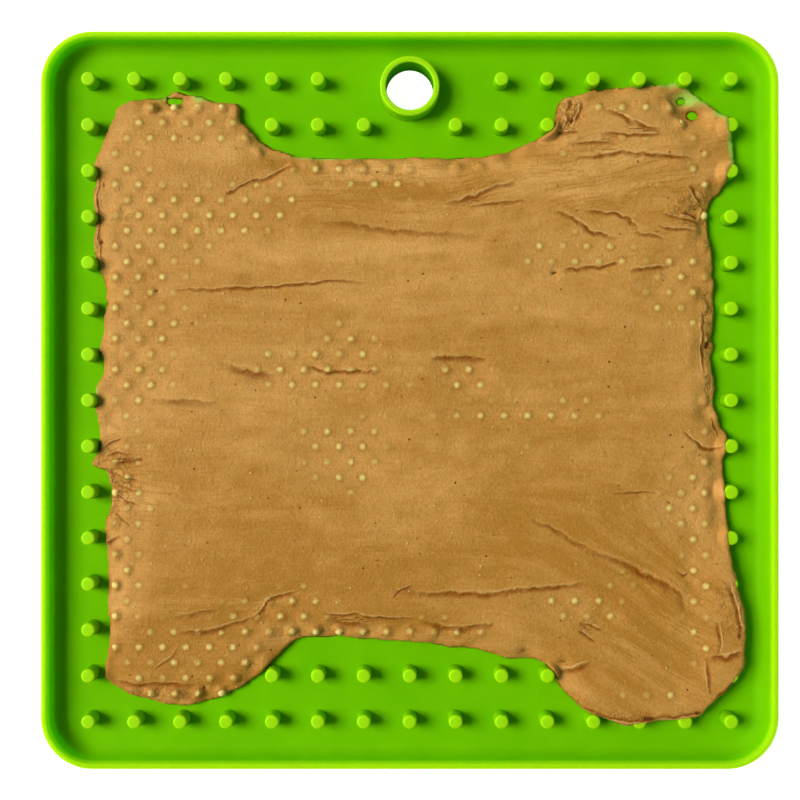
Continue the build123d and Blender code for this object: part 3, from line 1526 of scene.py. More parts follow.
# Where the layer is drawn paler.
PALE_PATCHES: tuple[Patch, ...] = (
    Patch(-16.0, 41.0, 34.0, 3.0),
    Patch(-54.0, 68.0, 18.0, 3.5, 0.9),
    Patch(-44.0, 38.0, 16.0, 3.0, 0.7),
    Patch(44.0, 60.0, 18.0, 5.0, 0.6),
    Patch(-58.0, -61.5, 10.0, 1.8, 0.7),
    Patch(75.0, -22.0, 7.0, 14.0, 0.5),
    Patch(-80.0, -48.0, 4.0, 14.0, 0.5),
    Patch(76.0, 10.0, 10.0, 12.0, 0.4),
    Patch(60.0, 68.0, 24.0, 14.0, 0.5),
    Patch(34.0, 64.0, 20.0, 1.6, 0.9),
    Patch(40.0, 57.2, 26.0, 1.6, 0.9),
    Patch(56.0, 77.5, 10.0, 2.5, 0.7),
    Patch(0.0, 56.0, 36.0, 8.0, 0.5),
)

# Where the torn layer has a hollow, drawn dark with painted shade.
PITS: tuple[Patch, ...] = (
    Patch(39.5, 34.8, 1.2, 0.6),
    Patch(44.0, 76.6, 0.9, 0.9),
    Patch(44.2, 81.0, 0.9, 0.8, 0.7),
    Patch(81.3, 15.0, 0.8, 1.1),
    Patch(82.4, 20.8, 0.7, 1.3, 0.7),
    Patch(64.2, -86.0, 1.8, 0.7),
    Patch(78.0, -85.2, 1.1, 0.6),
    Patch(-84.1, 59.0, 0.7, 0.9, 0.8),
    Patch(-84.6, 43.0, 0.6, 0.8, 0.9),
    Patch(71.0, -28.2, 0.6, 0.5, 0.9),
    Patch(78.2, 52.4, 1.1, 0.5, 0.8),
    Patch(76.2, 51.5, 0.7, 0.6, 0.7),
    Patch(-69.2, 30.0, 0.7, 0.4, 0.9),
    Patch(-69.0, -81.0, 0.8, 0.5, 0.9),
    Patch(-56.6, -79.0, 0.7, 0.9, 0.8),
    Patch(30.5, -68.4, 3.2, 1.6, 0.6),
    Patch(41.5, -71.5, 2.2, 1.0, 0.6),
    Patch(-30.3, -64.4, 1.2, 0.9, 0.6),
    Patch(89.8, -64.0, 0.8, 2.2, 0.8),
    Patch(87.6, -52.8, 0.8, 1.3, 0.7),
)

# Where an oily film runs out over the green beyond the paste.
HAZE_PATCHES: tuple[Patch, ...] = (
    Patch(80.5, 83.5, 7.0, 3.0),
    Patch(86.0, 78.0, 3.0, 4.5),
    Patch(88.0, 71.0, 2.6, 8.0),
    Patch(72.0, 87.0, 5.0, 1.3, 0.8),
    Patch(-86.6, 1.8, 1.2, 2.2, 0.8),
    Patch(-24.0, 66.9, 10.0, 0.9, 0.7),
    Patch(-57.8, 83.2, 2.2, 1.4, 0.9),
    Patch(-68.0, 83.4, 3.0, 1.0, 0.6),
)

# Where the layer is drawn deeper in colour, most of all across its lower half.
DEEPENED_PATCHES: tuple[Patch, ...] = (
    Patch(-60.0, -70.0, 26.0, 14.0),
    Patch(0.0, -46.0, 80.0, 22.0, 0.45),
    Patch(62.0, -62.0, 30.0, 24.0, 0.35),
    Patch(-20.0, 52.0, 22.0, 5.0, 0.35),
    Patch(-2.0, 20.0, 40.0, 5.0, 0.2),
)

# Where the knife left a groove with a ridge beside it.
KNIFE_MARKS: tuple[KnifeMark, ...] = (
    KnifeMark(((-50.5, 56.4), (-47.8, 57.4), (-44.9, 58.9), (-41.6, 60.3)), 0.45, 0.55, 0.9),
    KnifeMark(((-43.0, 59.6), (-39.8, 60.2), (-37.4, 61.3), (-35.6, 62.5), (-32.0, 64.5)), 0.5, 0.6, 0.95),
    KnifeMark(
        ((-65.0, 30.4), (-54.0, 30.3), (-40.0, 30.8), (-31.0, 31.6), (-21.3, 32.6), (-12.4, 32.4)),
        0.3, 0.6,
    ),
    KnifeMark(((-70.4, -0.1), (-65.2, -0.3), (-59.7, -0.5), (-52.0, -0.8)), 0.15, 1.1, 0.3),
    KnifeMark(((-52.0, 10.0), (-45.0, 8.0), (-41.3, 7.3), (-36.5, 6.5)), 0.15, 1.3, 0.4),
    KnifeMark(((-28.0, 9.2), (-22.0, 7.8), (-15.0, 8.0), (-8.5, 7.7)), 0.15, 0.7, 0.6),
    KnifeMark(((6.0, 11.2), (11.0, 11.6), (16.0, 11.4), (21.0, 11.0)), 0.15, 1.0, 0.65),
    KnifeMark(((-24.0, 48.6), (-15.9, 48.0), (-5.2, 46.2), (0.5, 45.9), (20.0, 45.0)), 0.1, 1.1, 0.35),
    KnifeMark(((10.0, 53.2), (17.0, 55.6), (24.0, 58.3), (29.0, 59.6)), 0.35, 0.8),
    KnifeMark(((16.0, 53.0), (24.0, 54.0), (32.0, 54.6)), 0.25, 0.6, 0.45),
    KnifeMark(((53.0, 80.0), (56.9, 78.4), (60.7, 76.3), (65.3, 74.6), (68.5, 73.9)), 0.5, 0.8),
    KnifeMark(((52.0, 73.2), (58.6, 72.8), (64.9, 72.6), (69.2, 73.0)), 0.3, 0.6),
    KnifeMark(((43.0, 70.0), (50.0, 70.4), (56.0, 70.6)), 0.25, 0.6, 0.4),
    KnifeMark(
        ((45.0, 66.3), (51.8, 66.8), (58.6, 67.6), (64.9, 67.2), (71.2, 66.8), (77.6, 66.1)),
        0.35, 0.8, 0.6,
    ),
    KnifeMark(((39.5, 51.8), (44.6, 49.7), (47.6, 47.5), (51.0, 45.6), (56.9, 44.2)), 0.45, 0.7, 0.55),
    KnifeMark(((47.6, 51.8), (52.2, 51.5), (56.9, 50.7), (60.3, 49.2), (62.4, 46.8)), 0.4, 0.6, 0.55),
    KnifeMark(((61.0, 45.8), (66.0, 45.2), (69.8, 44.0)), 0.3, 0.6),
    KnifeMark(((69.0, 50.8), (74.0, 49.4), (80.5, 48.6)), 0.3, 0.5),
    KnifeMark(((42.8, 35.8), (47.1, 36.1), (52.2, 36.5), (56.8, 37.5)), 0.4, 0.75, 1.0),
    KnifeMark(((60.3, 35.3), (64.9, 36.1), (71.0, 36.6)), 0.45, 0.8, 0.55),
    KnifeMark(((80.4, 7.0), (80.1, 13.0), (80.2, 18.0), (80.6, 24.0)), 0.6, 0.6, 0.5),
    KnifeMark(((74.8, -8.5), (77.7, -10.9), (79.7, -12.7), (82.1, -13.4), (85.4, -12.3)), 0.45, 0.6, 0.55),
    KnifeMark(((84.6, -10.8), (83.6, -8.0), (82.6, -4.8)), 0.2, 0.5, 0.45),
    KnifeMark(
        (
            (-3.4, -52.3), (5.4, -52.9), (12.3, -52.9), (20.3, -53.1),
            (28.3, -52.3), (41.7, -51.0), (49.0, -50.2),
        ),
        0.3, 0.9, 0.6,
    ),
    KnifeMark(((-4.0, -53.6), (-2.6, -51.9), (1.0, -50.9)), 0.5, 0.5),
    KnifeMark(
        ((-23.6, -57.8), (-20.2, -58.8), (-15.4, -58.2), (-10.1, -59.3), (-3.7, -59.8), (1.5, -59.6)),
        0.4, 0.6,
    ),
    KnifeMark(((3.5, -60.7), (9.7, -62.2), (15.0, -62.5), (20.3, -61.7), (23.5, -60.7)), 0.2, 0.9, 0.55),
    KnifeMark(((-22.5, -59.8), (-17.0, -61.0), (-11.0, -61.6)), 0.1, 1.1, 0.4),
    KnifeMark(((-62.8, -63.9), (-54.4, -63.0), (-48.0, -61.4), (-42.5, -59.3)), 0.3, 0.9),
    KnifeMark(
        ((-43.5, -59.9), (-40.6, -58.0), (-39.0, -55.2), (-35.4, -53.5), (-31.0, -52.2)),
        0.4, 0.7, 0.6,
    ),
    KnifeMark(((-64.0, -59.4), (-58.6, -58.7), (-53.0, -57.6)), 0.2, 0.9, 0.4),
    KnifeMark(((-69.6, -73.6), (-66.2, -71.0), (-62.8, -68.5)), 0.4, 0.6, 0.25),
    KnifeMark(((33.0, -32.8), (38.0, -34.2), (45.0, -38.6), (50.0, -41.6)), 0.15, 0.8, 0.35),
    KnifeMark(
        (
            (48.0, -41.0), (54.8, -43.0), (59.6, -45.0), (63.4, -47.4),
            (68.2, -49.3), (73.4, -52.6), (75.0, -57.5),
        ),
        0.2, 1.2, 0.45,
    ),
    KnifeMark(((56.0, -25.6), (61.0, -25.4), (67.5, -25.2)), 0.25, 0.5, 0.4),
    KnifeMark(((82.0, -69.6), (86.0, -70.0), (90.4, -68.4)), 0.5, 1.1, 0.6),
    KnifeMark(((81.8, -79.8), (81.2, -75.0), (80.8, -70.0)), 0.3, 0.8, 0.4),
    KnifeMark(((-80.6, -17.6), (-77.0, -16.6), (-72.8, -16.0)), 0.45, 0.7, 0.95),
    KnifeMark(((-83.2, -39.2), (-81.3, -38.3), (-79.2, -37.5)), 0.4, 0.6, 0.85),
    KnifeMark(((-81.8, -19.4), (-77.0, -21.5), (-72.5, -22.5)), 0.35, 0.45, 0.35),
    KnifeMark(((-81.8, -22.0), (-77.0, -24.0), (-73.0, -25.5)), 0.35, 0.45, 0.35),
    KnifeMark(((-81.2, -25.0), (-77.5, -27.5), (-74.0, -29.2)), 0.35, 0.45, 0.35),
    KnifeMark(((-81.0, -31.0), (-78.5, -32.5), (-76.4, -34.2)), 0.35, 0.45, 0.35),
    KnifeMark(((-84.0, -13.2), (-81.0, -11.6), (-78.6, -11.0)), 0.45, 0.45, 0.45),
    KnifeMark(((-83.6, -15.6), (-80.0, -14.4), (-76.5, -15.0)), 0.45, 0.45, 0.45),
    KnifeMark(((42.0, 74.6), (43.4, 77.0), (43.0, 79.6), (44.6, 82.6)), 0.7, 0.6, 0.8),
    KnifeMark(((44.8, 74.8), (46.0, 78.0), (47.2, 82.0)), 0.6, 0.6, 0.5),
    KnifeMark(((39.8, 73.6), (42.6, 73.0), (46.0, 73.4)), 0.6, 0.6, 0.6),
    KnifeMark(((79.0, 49.6), (76.6, 50.8), (74.0, 51.0)), 0.6, 0.5, 0.6),
    KnifeMark(((80.2, 53.6), (78.4, 55.2), (76.6, 59.0)), 0.6, 0.5, 0.5),
    KnifeMark(((68.0, 47.6), (73.0, 46.6), (80.0, 46.4)), 0.4, 0.5, 0.4),
    KnifeMark(((87.0, -50.5), (88.0, -54.0), (89.4, -58.5), (90.4, -63.0)), 0.6, 0.7, 0.8),
    KnifeMark(((83.6, -60.4), (84.4, -64.6), (84.0, -69.0)), 0.5, 0.6, 0.4),
    KnifeMark(((41.0, -74.2), (45.0, -73.6), (49.0, -72.0)), 0.5, 0.9, 0.5),
    KnifeMark(((46.6, -60.6), (49.4, -61.6), (52.6, -62.6)), 0.6, 0.5, 0.6),
    KnifeMark(((46.0, -62.8), (48.6, -64.0), (50.4, -65.8)), 0.6, 0.5, 0.5),
    KnifeMark(((72.8, -46.4), (74.6, -48.0), (76.0, -47.4)), 0.6, 0.5, 0.5),
    KnifeMark(
        (
            (79.5, -85.0), (74.0, -86.0), (68.0, -86.4), (62.0, -87.2),
            (56.0, -86.8), (50.0, -84.9), (45.5, -82.6),
        ),
        0.7, 0.6, 0.85,
    ),
    KnifeMark(((91.0, -73.0), (88.6, -76.4), (85.5, -79.4), (82.0, -82.6)), 0.6, 0.5, 0.5),
    KnifeMark(
        ((-84.4, 36.5), (-84.9, 42.0), (-85.2, 48.0), (-85.6, 54.0), (-85.2, 60.0), (-85.4, 66.0)),
        0.6, 0.5, 0.45,
    ),
    KnifeMark(((-80.4, -77.6), (-74.0, -77.9), (-66.0, -77.7), (-58.0, -78.2)), 0.2, 0.9, 0.5),
)

# How the knife's strokes swing out into the two right lobes, drift along and waver across.
STROKE_SWINGS: tuple[Swing, ...] = (
    Swing(14.0, (10.0, 25.0), (90.0, 62.0)),
    Swing(-30.0, (25.0, -5.0), (95.0, -55.0)),
)
STROKE_DRIFT = Ripple(30, 17, 7.0, 0, 11)
STROKE_WAVER: tuple[Ripple, ...] = (Ripple(26, 13, 1.7, 40, 0), Ripple(11, 7, 0.6, 0, 80))

# The waves of the layer's height: along the strokes, where it is combed, where it is torn, and everywhere.
STROKE_WAVES: tuple[Ripple, ...] = (
    Ripple(40, 12, 0.1, 7, 7),
    Ripple(26, 5, 0.06, 3, 3),
    Ripple(22, 1.6, 0.035, 19, 19),
)
COMB_WAVES: tuple[Ripple, ...] = (Ripple(32, 1.5, 0.2, 9, 9), Ripple(45, 4.0, 0.15, 27, 27))
TORN_WAVES: tuple[Ripple, ...] = (Ripple(1.7, 1.7, 0.4), Ripple(3.1, 3.1, 0.35, 60, 60))
LUMPS: tuple[Ripple, ...] = (
    Ripple(15, 9, 0.15, 44, 44),
    Ripple(6, 4, 0.09, 20, 20),
    Ripple(2.4, 1.8, 0.05, 33, 33),
)

# The waves of its tone, along the strokes and where it is combed.
TONE_WAVES: tuple[Ripple, ...] = (
    Ripple(48, 26, 0.16, 5, 5),
    Ripple(30, 8, 0.1, 45, 45),
    Ripple(22, 2.2, 0.12, 30, 30),
    Ripple(5, 3, 0.16, 71, 71),
)
COMB_TONES: tuple[Ripple, ...] = (Ripple(32, 1.7, 0.35, 14, 14), Ripple(45, 4.5, 0.3, 52, 52))

# What makes outlines ragged: the layer's edge and its thickness there, the patches, and the knife marks.
EDGE_WAVES: tuple[Ripple, ...] = (Ripple(3.4, 3.4, 0.28), Ripple(1.5, 1.5, 0.22, 50, 50))
EDGE_SWELL = Ripple(4, 4, 0.5, 0, 9)
PATCH_WOBBLE = Ripple(9, 5, 0.25)
FRAY_X = Ripple(2, 2, 0.4, 0, 12)
FRAY_Y = Ripple(2, 2, 0.4, 31, 0)

# What makes the film on the nubs and the brown rim of the edge uneven.
FILM_BLOTCH = Ripple(3.1, 3.1, 0.6, 5, 0)
RIM_BLOTCH = Ripple(2.2, 2.2, 0.5, 0, 70)

# The chain of pegs that the lower right lobe is smeared over, and the pegs that it climbs elsewhere.
BURIED_PEGS: tuple[Point, ...] = ((88.0, -47.0), (88.0, -75.0), (82.0, -82.0), (75.5, -87.0), (50.0, -87.0))
CLIMBED_PEGS: tuple[Point, ...] = (
    (87.5, 75.0), (87.5, 62.5), (37.5, 75.0), (37.5, -75.0), (87.5, -12.5), (87.5, -25.0), (87.5, -37.5),
)


def rippled(noise: SmoothNoise, ripples: tuple[Ripple, ...], along: Array, across: Array) -> Array:
    """Adds up waves of several sizes.

    Args:
        noise: The random values.
        ripples: The waves.
        along: Distances along the waves, in millimetres.
        across: Distances across them, in millimetres.

    Returns:
        The summed heights.
    """
    return sum(ripple.read(noise, along, across) for ripple in ripples)


def from_route(route: tuple[Point, ...], x: Array, y: Array) -> tuple[Array, Array, Array]:
    """Measures points against a route of straight spans.

    Args:
        route: The route's corners.
        x: Points' x.
        y: Points' y.

    Returns:
        The distance to the route, how far left of its nearest span it is, and the share run by then.
    """
    away, beside, gone = np.full(x.shape, np.inf), np.zeros(x.shape), np.zeros(x.shape)
    spans = len(route) - 1
    for index, ((x0, y0), (x1, y1)) in enumerate(zip(route, route[1:])):
        run, rise = x1 - x0, y1 - y0
        length = np.hypot(run, rise)
        share = np.clip(((x - x0) * run + (y - y0) * rise) / length**2, 0, 1)
        reach = np.hypot(x - x0 - share * run, y - y0 - share * rise)
        closer = reach < away
        away = np.where(closer, reach, away)
        beside = np.where(closer, ((y - y0) * run - (x - x0) * rise) / length, beside)
        gone = np.where(closer, (index + share) / spans, gone)
    return away, beside, gone


def distance_to_studs(places: Array, x: Array, y: Array, reach: float) -> Array:
    """Measures the distance to the nearest stud, for points near one.

    Args:
        places: The studs' places.
        x: The grid's x, which grows along its second axis.
        y: The grid's y, which grows along its first axis.
        reach: The largest distance that matters.

    Returns:
        The distances, or reach where no stud is as near.
    """
    distance = np.full(x.shape, reach)
    columns, rows = x[0], y[:, 0]
    for stud_x, stud_y in places:
        left, right = np.searchsorted(columns, (stud_x - reach, stud_x + reach))
        low, high = np.searchsorted(rows, (stud_y - reach, stud_y + reach))
        window = (slice(low, high), slice(left, right))
        away = np.hypot(x[window] - stud_x, y[window] - stud_y)
        distance[window] = np.minimum(distance[window], away)
    return distance


@dataclass
class PeanutButter:
    """The knife-spread layer: a height over each point of a fine grid, cut off along the photographed edge.

    A pair of values is where a change starts and where it is complete.
    """

    node: str = "peanut_butter"
    grid_step: float = 0.55
    margin: float = 3.0
    span_steps: int = 3
    pinch_passes: int = 4
    least_slope: float = 0.3
    floor_gap: float = 0.02
    seed: int = 11
    thick: float = 3.5
    thin: float = 2.9
    lowest: float = 1.4
    highest: float = 4.8
    patch_fade: Span = (0.5, 1.4)
    nub_height: float = 3.0
    nub_radius: float = 1.35
    nub_radii_seen: float = 3.0
    nub_film: float = 0.06
    nub_drape: float = 0.08
    drape_cover: Span = (0.1, 0.7)
    mound_depth: Span = (1.0, 2.5)
    mound_reach: Span = (0.9, 2.3)
    film_cover: Span = (-0.1, 0.5)
    film_share: float = 0.85
    peg_cover: float = 5.2
    peg_radius: float = 2.0
    peg_radii_seen: float = 4.0
    buried_reach: float = 9.0
    climbed_reach: float = 2.0
    edge_height: float = 1.9
    edge_round: float = 0.5
    edge_slope: float = 0.35
    edge_run: float = 7.5
    rim_share: float = 0.55
    rim_depth: Span = (0.2, 1.5)
    haze_depth: Span = (0.8, 2.6)
    gap_run: float = 3.0
    gap_height: float = 0.3
    mark_fade: Span = (1.7, 2.4)
    mark_limit: float = 3.0
    groove_depth: float = 0.3
    groove_width: float = 1.0
    ridge_height: float = 0.3
    ridge_place: float = 1.2
    ridge_width: float = 1.2
    pit_depth: float = 0.9
    pit_inset: Span = (0.0, 1.0)
    crumbs: int = 190
    crumb_field: float = 80.0
    crumb_size: float = 0.5
    crumb_sizes: Span = (0.4, 1.0)
    crumb_height: float = 0.35
    # A crumb's painted shadow: its offset away from the light and its size, in crumb sizes, and how dark it
    # is.
    crumb_shade: Point = (0.6, -0.7)
    crumb_shade_size: float = 0.5
    crumb_shadow_strengths: Span = (0.3, 0.9)
    middle_tone: float = 0.42
    pale_tone: float = 0.35
    thin_tone: float = 0.08
    deepened_tone: float = 0.5

    def edge_loop(self) -> Array:
        """Runs a smooth closed curve through the outline's points.

        Returns:
            One row of x and y for each point of the curve.
        """
        knots = np.array(SPREAD_OUTLINE)
        before, after, beyond = (np.roll(knots, turn, axis=0) for turn in (1, -1, -2))
        loop = []
        for share in np.arange(self.span_steps) / self.span_steps:
            slope = (after - before) * share
            bend = (2 * before - 5 * knots + 4 * after - beyond) * share**2
            twist = (3 * knots - before - 3 * after + beyond) * share**3
            loop.append(knots + (slope + bend + twist) / 2)
        return np.stack(loop, axis=1).reshape(-1, 2)

    def depth_inside(self, x: Array, y: Array) -> Array:
        """Measures how far each point lies inside the spread's edge.

        Args:
            x: Points' x.
            y: Points' y.

        Returns:
            The distance to the edge, negative outside it.
        """
        loop = self.edge_loop()
        nearest = np.full(x.shape, np.inf)
        inside = np.zeros(x.shape, bool)
        for (x0, y0), (x1, y1) in zip(loop, np.roll(loop, -1, axis=0)):
            run, rise = x1 - x0, y1 - y0
            share = np.clip(((x - x0) * run + (y - y0) * rise) / (run * run + rise * rise), 0, 1)
            nearest = np.minimum(nearest, (x - x0 - share * run) ** 2 + (y - y0 - share * rise) ** 2)
            if y0 != y1:
                crosses = (y0 > y) != (y1 > y)
                inside ^= crosses & (x < x0 + run * (y - y0) / rise)
        return np.where(inside, 1, -1) * np.sqrt(nearest)

    @staticmethod
    def gap_depth(x: Array, y: Array) -> Array:
        """Measures how far each point lies outside the bare gaps."""
        return np.minimum.reduce([(gap.away(x, y) - 1) * min(gap.reach_x, gap.reach_y) for gap in BARE_GAPS])

    def coverage(self, patches: tuple[Patch, ...], x: Array, y: Array, wobble: Array) -> Array:
        """Tells how strongly a set of patches covers each point.

        Args:
            patches: The ovals.
            x: Points' x.
            y: Points' y.
            wobble: A value that pushes the ovals' edges in and out.

        Returns:
            Shares from 0 to 1.
        """
        cover = np.zeros(x.shape)
        for patch in patches:
            share = 1 - ease(patch.away(x, y) + wobble, *self.patch_fade)
            cover = np.maximum(cover, patch.strength * share)
        return cover

    @staticmethod
    def stroke_axes(x: Array, y: Array, noise: SmoothNoise) -> tuple[Array, Array]:
        """Follows the knife, which ran across the mat and swung out into the two right lobes.

        Args:
            x: Points' x.
            y: Points' y.
            noise: Makes the strokes waver.

        Returns:
            Distances along and across the strokes.
        """
        across = y
        for swing in STROKE_SWINGS:
            across = across - swing.read(x, y)
        return x + STROKE_DRIFT.read(noise, x, y), across + rippled(noise, STROKE_WAVER, x, y)

    def marks(self, x: Array, y: Array) -> dict[Carried, Array]:
        """Finds the nearest knife mark to each point.

        Args:
            x: Points' x.
            y: Points' y.

        Returns:
            The place across that mark in its own widths, how dark its groove is and how high its ridge.
        """
        nearest = np.full(x.shape, np.inf)
        across, stain, ridge = np.zeros(x.shape), np.zeros(x.shape), np.zeros(x.shape)
        for mark in KNIFE_MARKS:
            away, beside, gone = from_route(mark.route, x, y)
            fade = np.sqrt(np.sin(pi * np.clip(gone, 0, 1)))
            near = fade * (1 - ease(away / mark.width, *self.mark_fade))
            closer = away < nearest
            nearest = np.where(closer, away, nearest)
            across = np.where(closer, beside / mark.width, across)
            stain = np.where(closer, mark.stain * near, stain)
            ridge = np.where(closer, mark.ridge * near, ridge)
        across = np.clip(across, -self.mark_limit, self.mark_limit)
        return {Carried.MARK: across, Carried.STAIN: stain, Carried.RIDGE: ridge}

    def lumps(self, x: Array, y: Array) -> tuple[Array, Array]:
        """Adds up the pits and the crumbs.

        Args:
            x: Points' x.
            y: Points' y.

        Returns:
            The height that they add, and how dark they are: painted shade in the pits and painted shadows
            beside the crumbs.
        """
        relief, stain = np.zeros(x.shape), np.zeros(x.shape)
        for pit in PITS:
            dip = pit.strength * bump(pit.away(x, y), 1)
            relief -= self.pit_depth * dip
            stain = np.maximum(stain, dip)
        chance = np.random.default_rng(self.seed)
        shade_x, shade_y = self.crumb_shade
        for _ in range(self.crumbs):
            crumb_x, crumb_y = chance.uniform(-self.crumb_field, self.crumb_field, 2)
            size = self.crumb_size * chance.uniform(*self.crumb_sizes)
            relief += self.crumb_height * bump(np.hypot(x - crumb_x, y - crumb_y), size)
            # Painted shadow: a dark spot beside each crumb, on the side away from the light.
            away = np.hypot(x - crumb_x - shade_x * size, y - crumb_y - shade_y * size)
            shade = bump(away, self.crumb_shade_size * size)
            stain = np.maximum(stain, chance.uniform(*self.crumb_shadow_strengths) * shade)
        return relief, stain

    def run_out(self, height: Array, depth: Array, gap: Array, swell: Array) -> Array:
        """Thins the layer towards its edge and its gaps.

        Args:
            height: The layer's height away from edges.
            depth: How far each point lies inside the outline.
            gap: How far each point lies outside the gaps.
            swell: Makes the edge thicker and thinner.

        Returns:
            The thinned height, still without its rounded edge.
        """
        lip = self.edge_height * (1 + swell)
        height = lip + (height - lip) * ease(depth, 0, self.edge_run)
        return self.gap_height + (height - self.gap_height) * ease(gap, 0, self.gap_run)

    def over_nubs(self, height: Array, depth: Array, to_nub: Array) -> Array:
        """Raises the layer to a film over the nubs that would stand through it.

        Args:
            height: The layer's height.
            depth: How far each point lies inside the edge.
            to_nub: The distance to the nearest nub.

        Returns:
            The raised height.
        """
        short = np.maximum(self.nub_height + self.nub_film - height, 0) * ease(depth, *self.mound_depth)
        return height + short * (1 - ease(to_nub, *self.mound_reach))

    def over_pegs(self, height: Array, x: Array, y: Array) -> Array:
        """Raises the layer over the pegs that it buries and against those that it climbs.

        Args:
            height: The layer's height.
            x: The grid's x.
            y: The grid's y.

        Returns:
            The raised height.
        """
        buried = np.maximum(from_route(BURIED_PEGS, x, y)[0] - self.peg_radius, 0)
        to_peg = distance_to_studs(np.array(CLIMBED_PEGS), x, y, self.peg_radii_seen * self.peg_radius)
        climbed = np.maximum(to_peg - self.peg_radius, 0)
        height = height + np.maximum(self.peg_cover - height, 0) * bump(buried, self.buried_reach)
        return np.maximum(height, self.peg_cover * bump(climbed, self.climbed_reach))

    def rounded_edge(self, height: Array, depth: Array) -> Array:
        """Rounds the layer down to the floor at its edge.

        Args:
            height: The layer's height.
            depth: How far each point lies inside the edge.

        Returns:
            The rounded height.
        """
        inwards = np.clip(depth / np.maximum(self.edge_round, self.edge_slope * height), 0, 1)
        return height * np.sqrt(1 - (1 - inwards) ** 2)

    def surface(
        self, x: Array, y: Array, depth: Array, nubs: Array
    ) -> tuple[Array, dict[Carried, Array]]:
        """Works out the layer's height and the values that its finish reads.

        Args:
            x: The grid's x.
            y: The grid's y.
            depth: How far each grid point lies inside the edge.
            nubs: The nubs' places.

        Returns:
            The height above the floor, and the values for the finish.
        """
        noise = SmoothNoise(self.seed)
        along, across = self.stroke_axes(x, y, noise)
        wobble = PATCH_WOBBLE.read(noise, x, y)
        thin, rough, combed, pale, haze, deepened = (
            self.coverage(patches, x, y, wobble)
            for patches in (
                THIN_PATCHES, ROUGH_PATCHES, COMBED_PATCHES, PALE_PATCHES, HAZE_PATCHES, DEEPENED_PATCHES,
            )
        )
        height = self.thick - (self.thick - self.thin) * thin + rippled(noise, LUMPS, x, y)
        strokes = rippled(noise, STROKE_WAVES, along, across)
        height += strokes + combed * rippled(noise, COMB_WAVES, along, across)
        height += rough * rippled(noise, TORN_WAVES, x, y)
        frayed_x, frayed_y = x + FRAY_X.read(noise, x, y), y + FRAY_Y.read(noise, x, y)
        marks = self.marks(frayed_x, frayed_y)
        relief, pits = self.lumps(frayed_x, frayed_y)
        ridge = bump(marks[Carried.MARK] - self.ridge_place, self.ridge_width)
        relief += self.ridge_height * marks[Carried.RIDGE] * ridge
        relief -= self.groove_depth * marks[Carried.STAIN] * bump(marks[Carried.MARK], self.groove_width)
        height = np.clip(height + relief, self.lowest, self.highest)
        cover = height - self.nub_height
        to_nub = distance_to_studs(nubs, x, y, self.nub_radii_seen * self.nub_radius)
        height += self.nub_drape * (1 - ease(cover, *self.drape_cover)) * bump(to_nub, self.nub_radius)
        height = self.run_out(height, depth, self.gap_depth(x, y), EDGE_SWELL.read(noise, x, y))
        height = self.over_pegs(self.over_nubs(height, depth, to_nub), x, y)
        tone = self.middle_tone + rippled(noise, TONE_WAVES, along, across)
        tone = tone + self.pale_tone * pale + self.thin_tone * thin - self.deepened_tone * deepened
        tone += combed * rippled(noise, COMB_TONES, along, across)
        film = (self.film_share + FILM_BLOTCH.read(noise, x, y)) * (1 - ease(cover, *self.film_cover))
        rim = np.clip(self.rim_share + RIM_BLOTCH.read(noise, x, y), 0, 1)
        return self.rounded_edge(height, depth), marks | {
            Carried.TONE: np.clip(tone, 0, 1),
            Carried.EDGE: rim * (1 - ease(depth, *self.rim_depth)),
            Carried.HAZE: haze * (1 - ease(depth, *self.haze_depth)),
            Carried.PIT: np.clip(pits * ease(depth, *self.pit_inset), 0, 1),
            Carried.NUB: to_nub,
            Carried.ROUGH: rough,
            Carried.COMBED: combed,
            Carried.FILM: np.clip(film, 0, 1),
            Carried.ALONG: along,
            Carried.ACROSS: across,
        }

    def kept_cells(self, depth: Array) -> Array:
        """Picks the grid's cells that lie inside the edge, with no two that meet at a corner alone.

        Args:
            depth: How far each grid point lies inside the edge.

        Returns:
            One flag for each cell.
        """
        middle = (depth[:-1, :-1] + depth[1:, :-1] + depth[:-1, 1:] + depth[1:, 1:]) / 4
        kept = middle > 0
        for _ in range(self.pinch_passes):
            a, b, c, d = kept[:-1, :-1], kept[:-1, 1:], kept[1:, :-1], kept[1:, 1:]
            pinched = (a & d & ~b & ~c) | (b & c & ~a & ~d)
            for part in (a, b, c, d):
                part |= pinched
        return kept

    def build(self, nubs: Array, finish: Material) -> SceneObject:
        """Makes the layer and shows it in place of the CAD solid.

        Args:
            nubs: The nubs' places, in millimetres.
            finish: The layer's material.

        Returns:
            The new object.
        """
        outline = np.array(SPREAD_OUTLINE)
        low, high = outline.min(axis=0) - self.margin, outline.max(axis=0) + self.margin
        x, y = np.meshgrid(*(np.arange(start, end, self.grid_step) for start, end in zip(low, high)))
        ragged = rippled(SmoothNoise(self.seed + 1), EDGE_WAVES, x, y)
        depth = np.minimum(self.depth_inside(x, y), self.gap_depth(x, y)) + ragged
        kept = self.kept_cells(depth)
        used = np.pad(kept, 1)
        around = [used[:-1, :-1], used[:-1, 1:], used[1:, :-1], used[1:, 1:]]
        on_edge = np.logical_or.reduce(around) & ~np.logical_and.reduce(around)
        slope_y, slope_x = np.gradient(depth, self.grid_step)
        pull = np.where(on_edge, depth / np.maximum(slope_x**2 + slope_y**2, self.least_slope), 0)
        height, values = self.surface(x, y, np.where(on_edge, 0, depth), nubs)
        floor_z = node_box(self.node)[0].z + self.floor_gap
        points = np.stack([x - pull * slope_x, y - pull * slope_y, floor_z + height], axis=-1)
        return self.show(points, kept, values, finish)

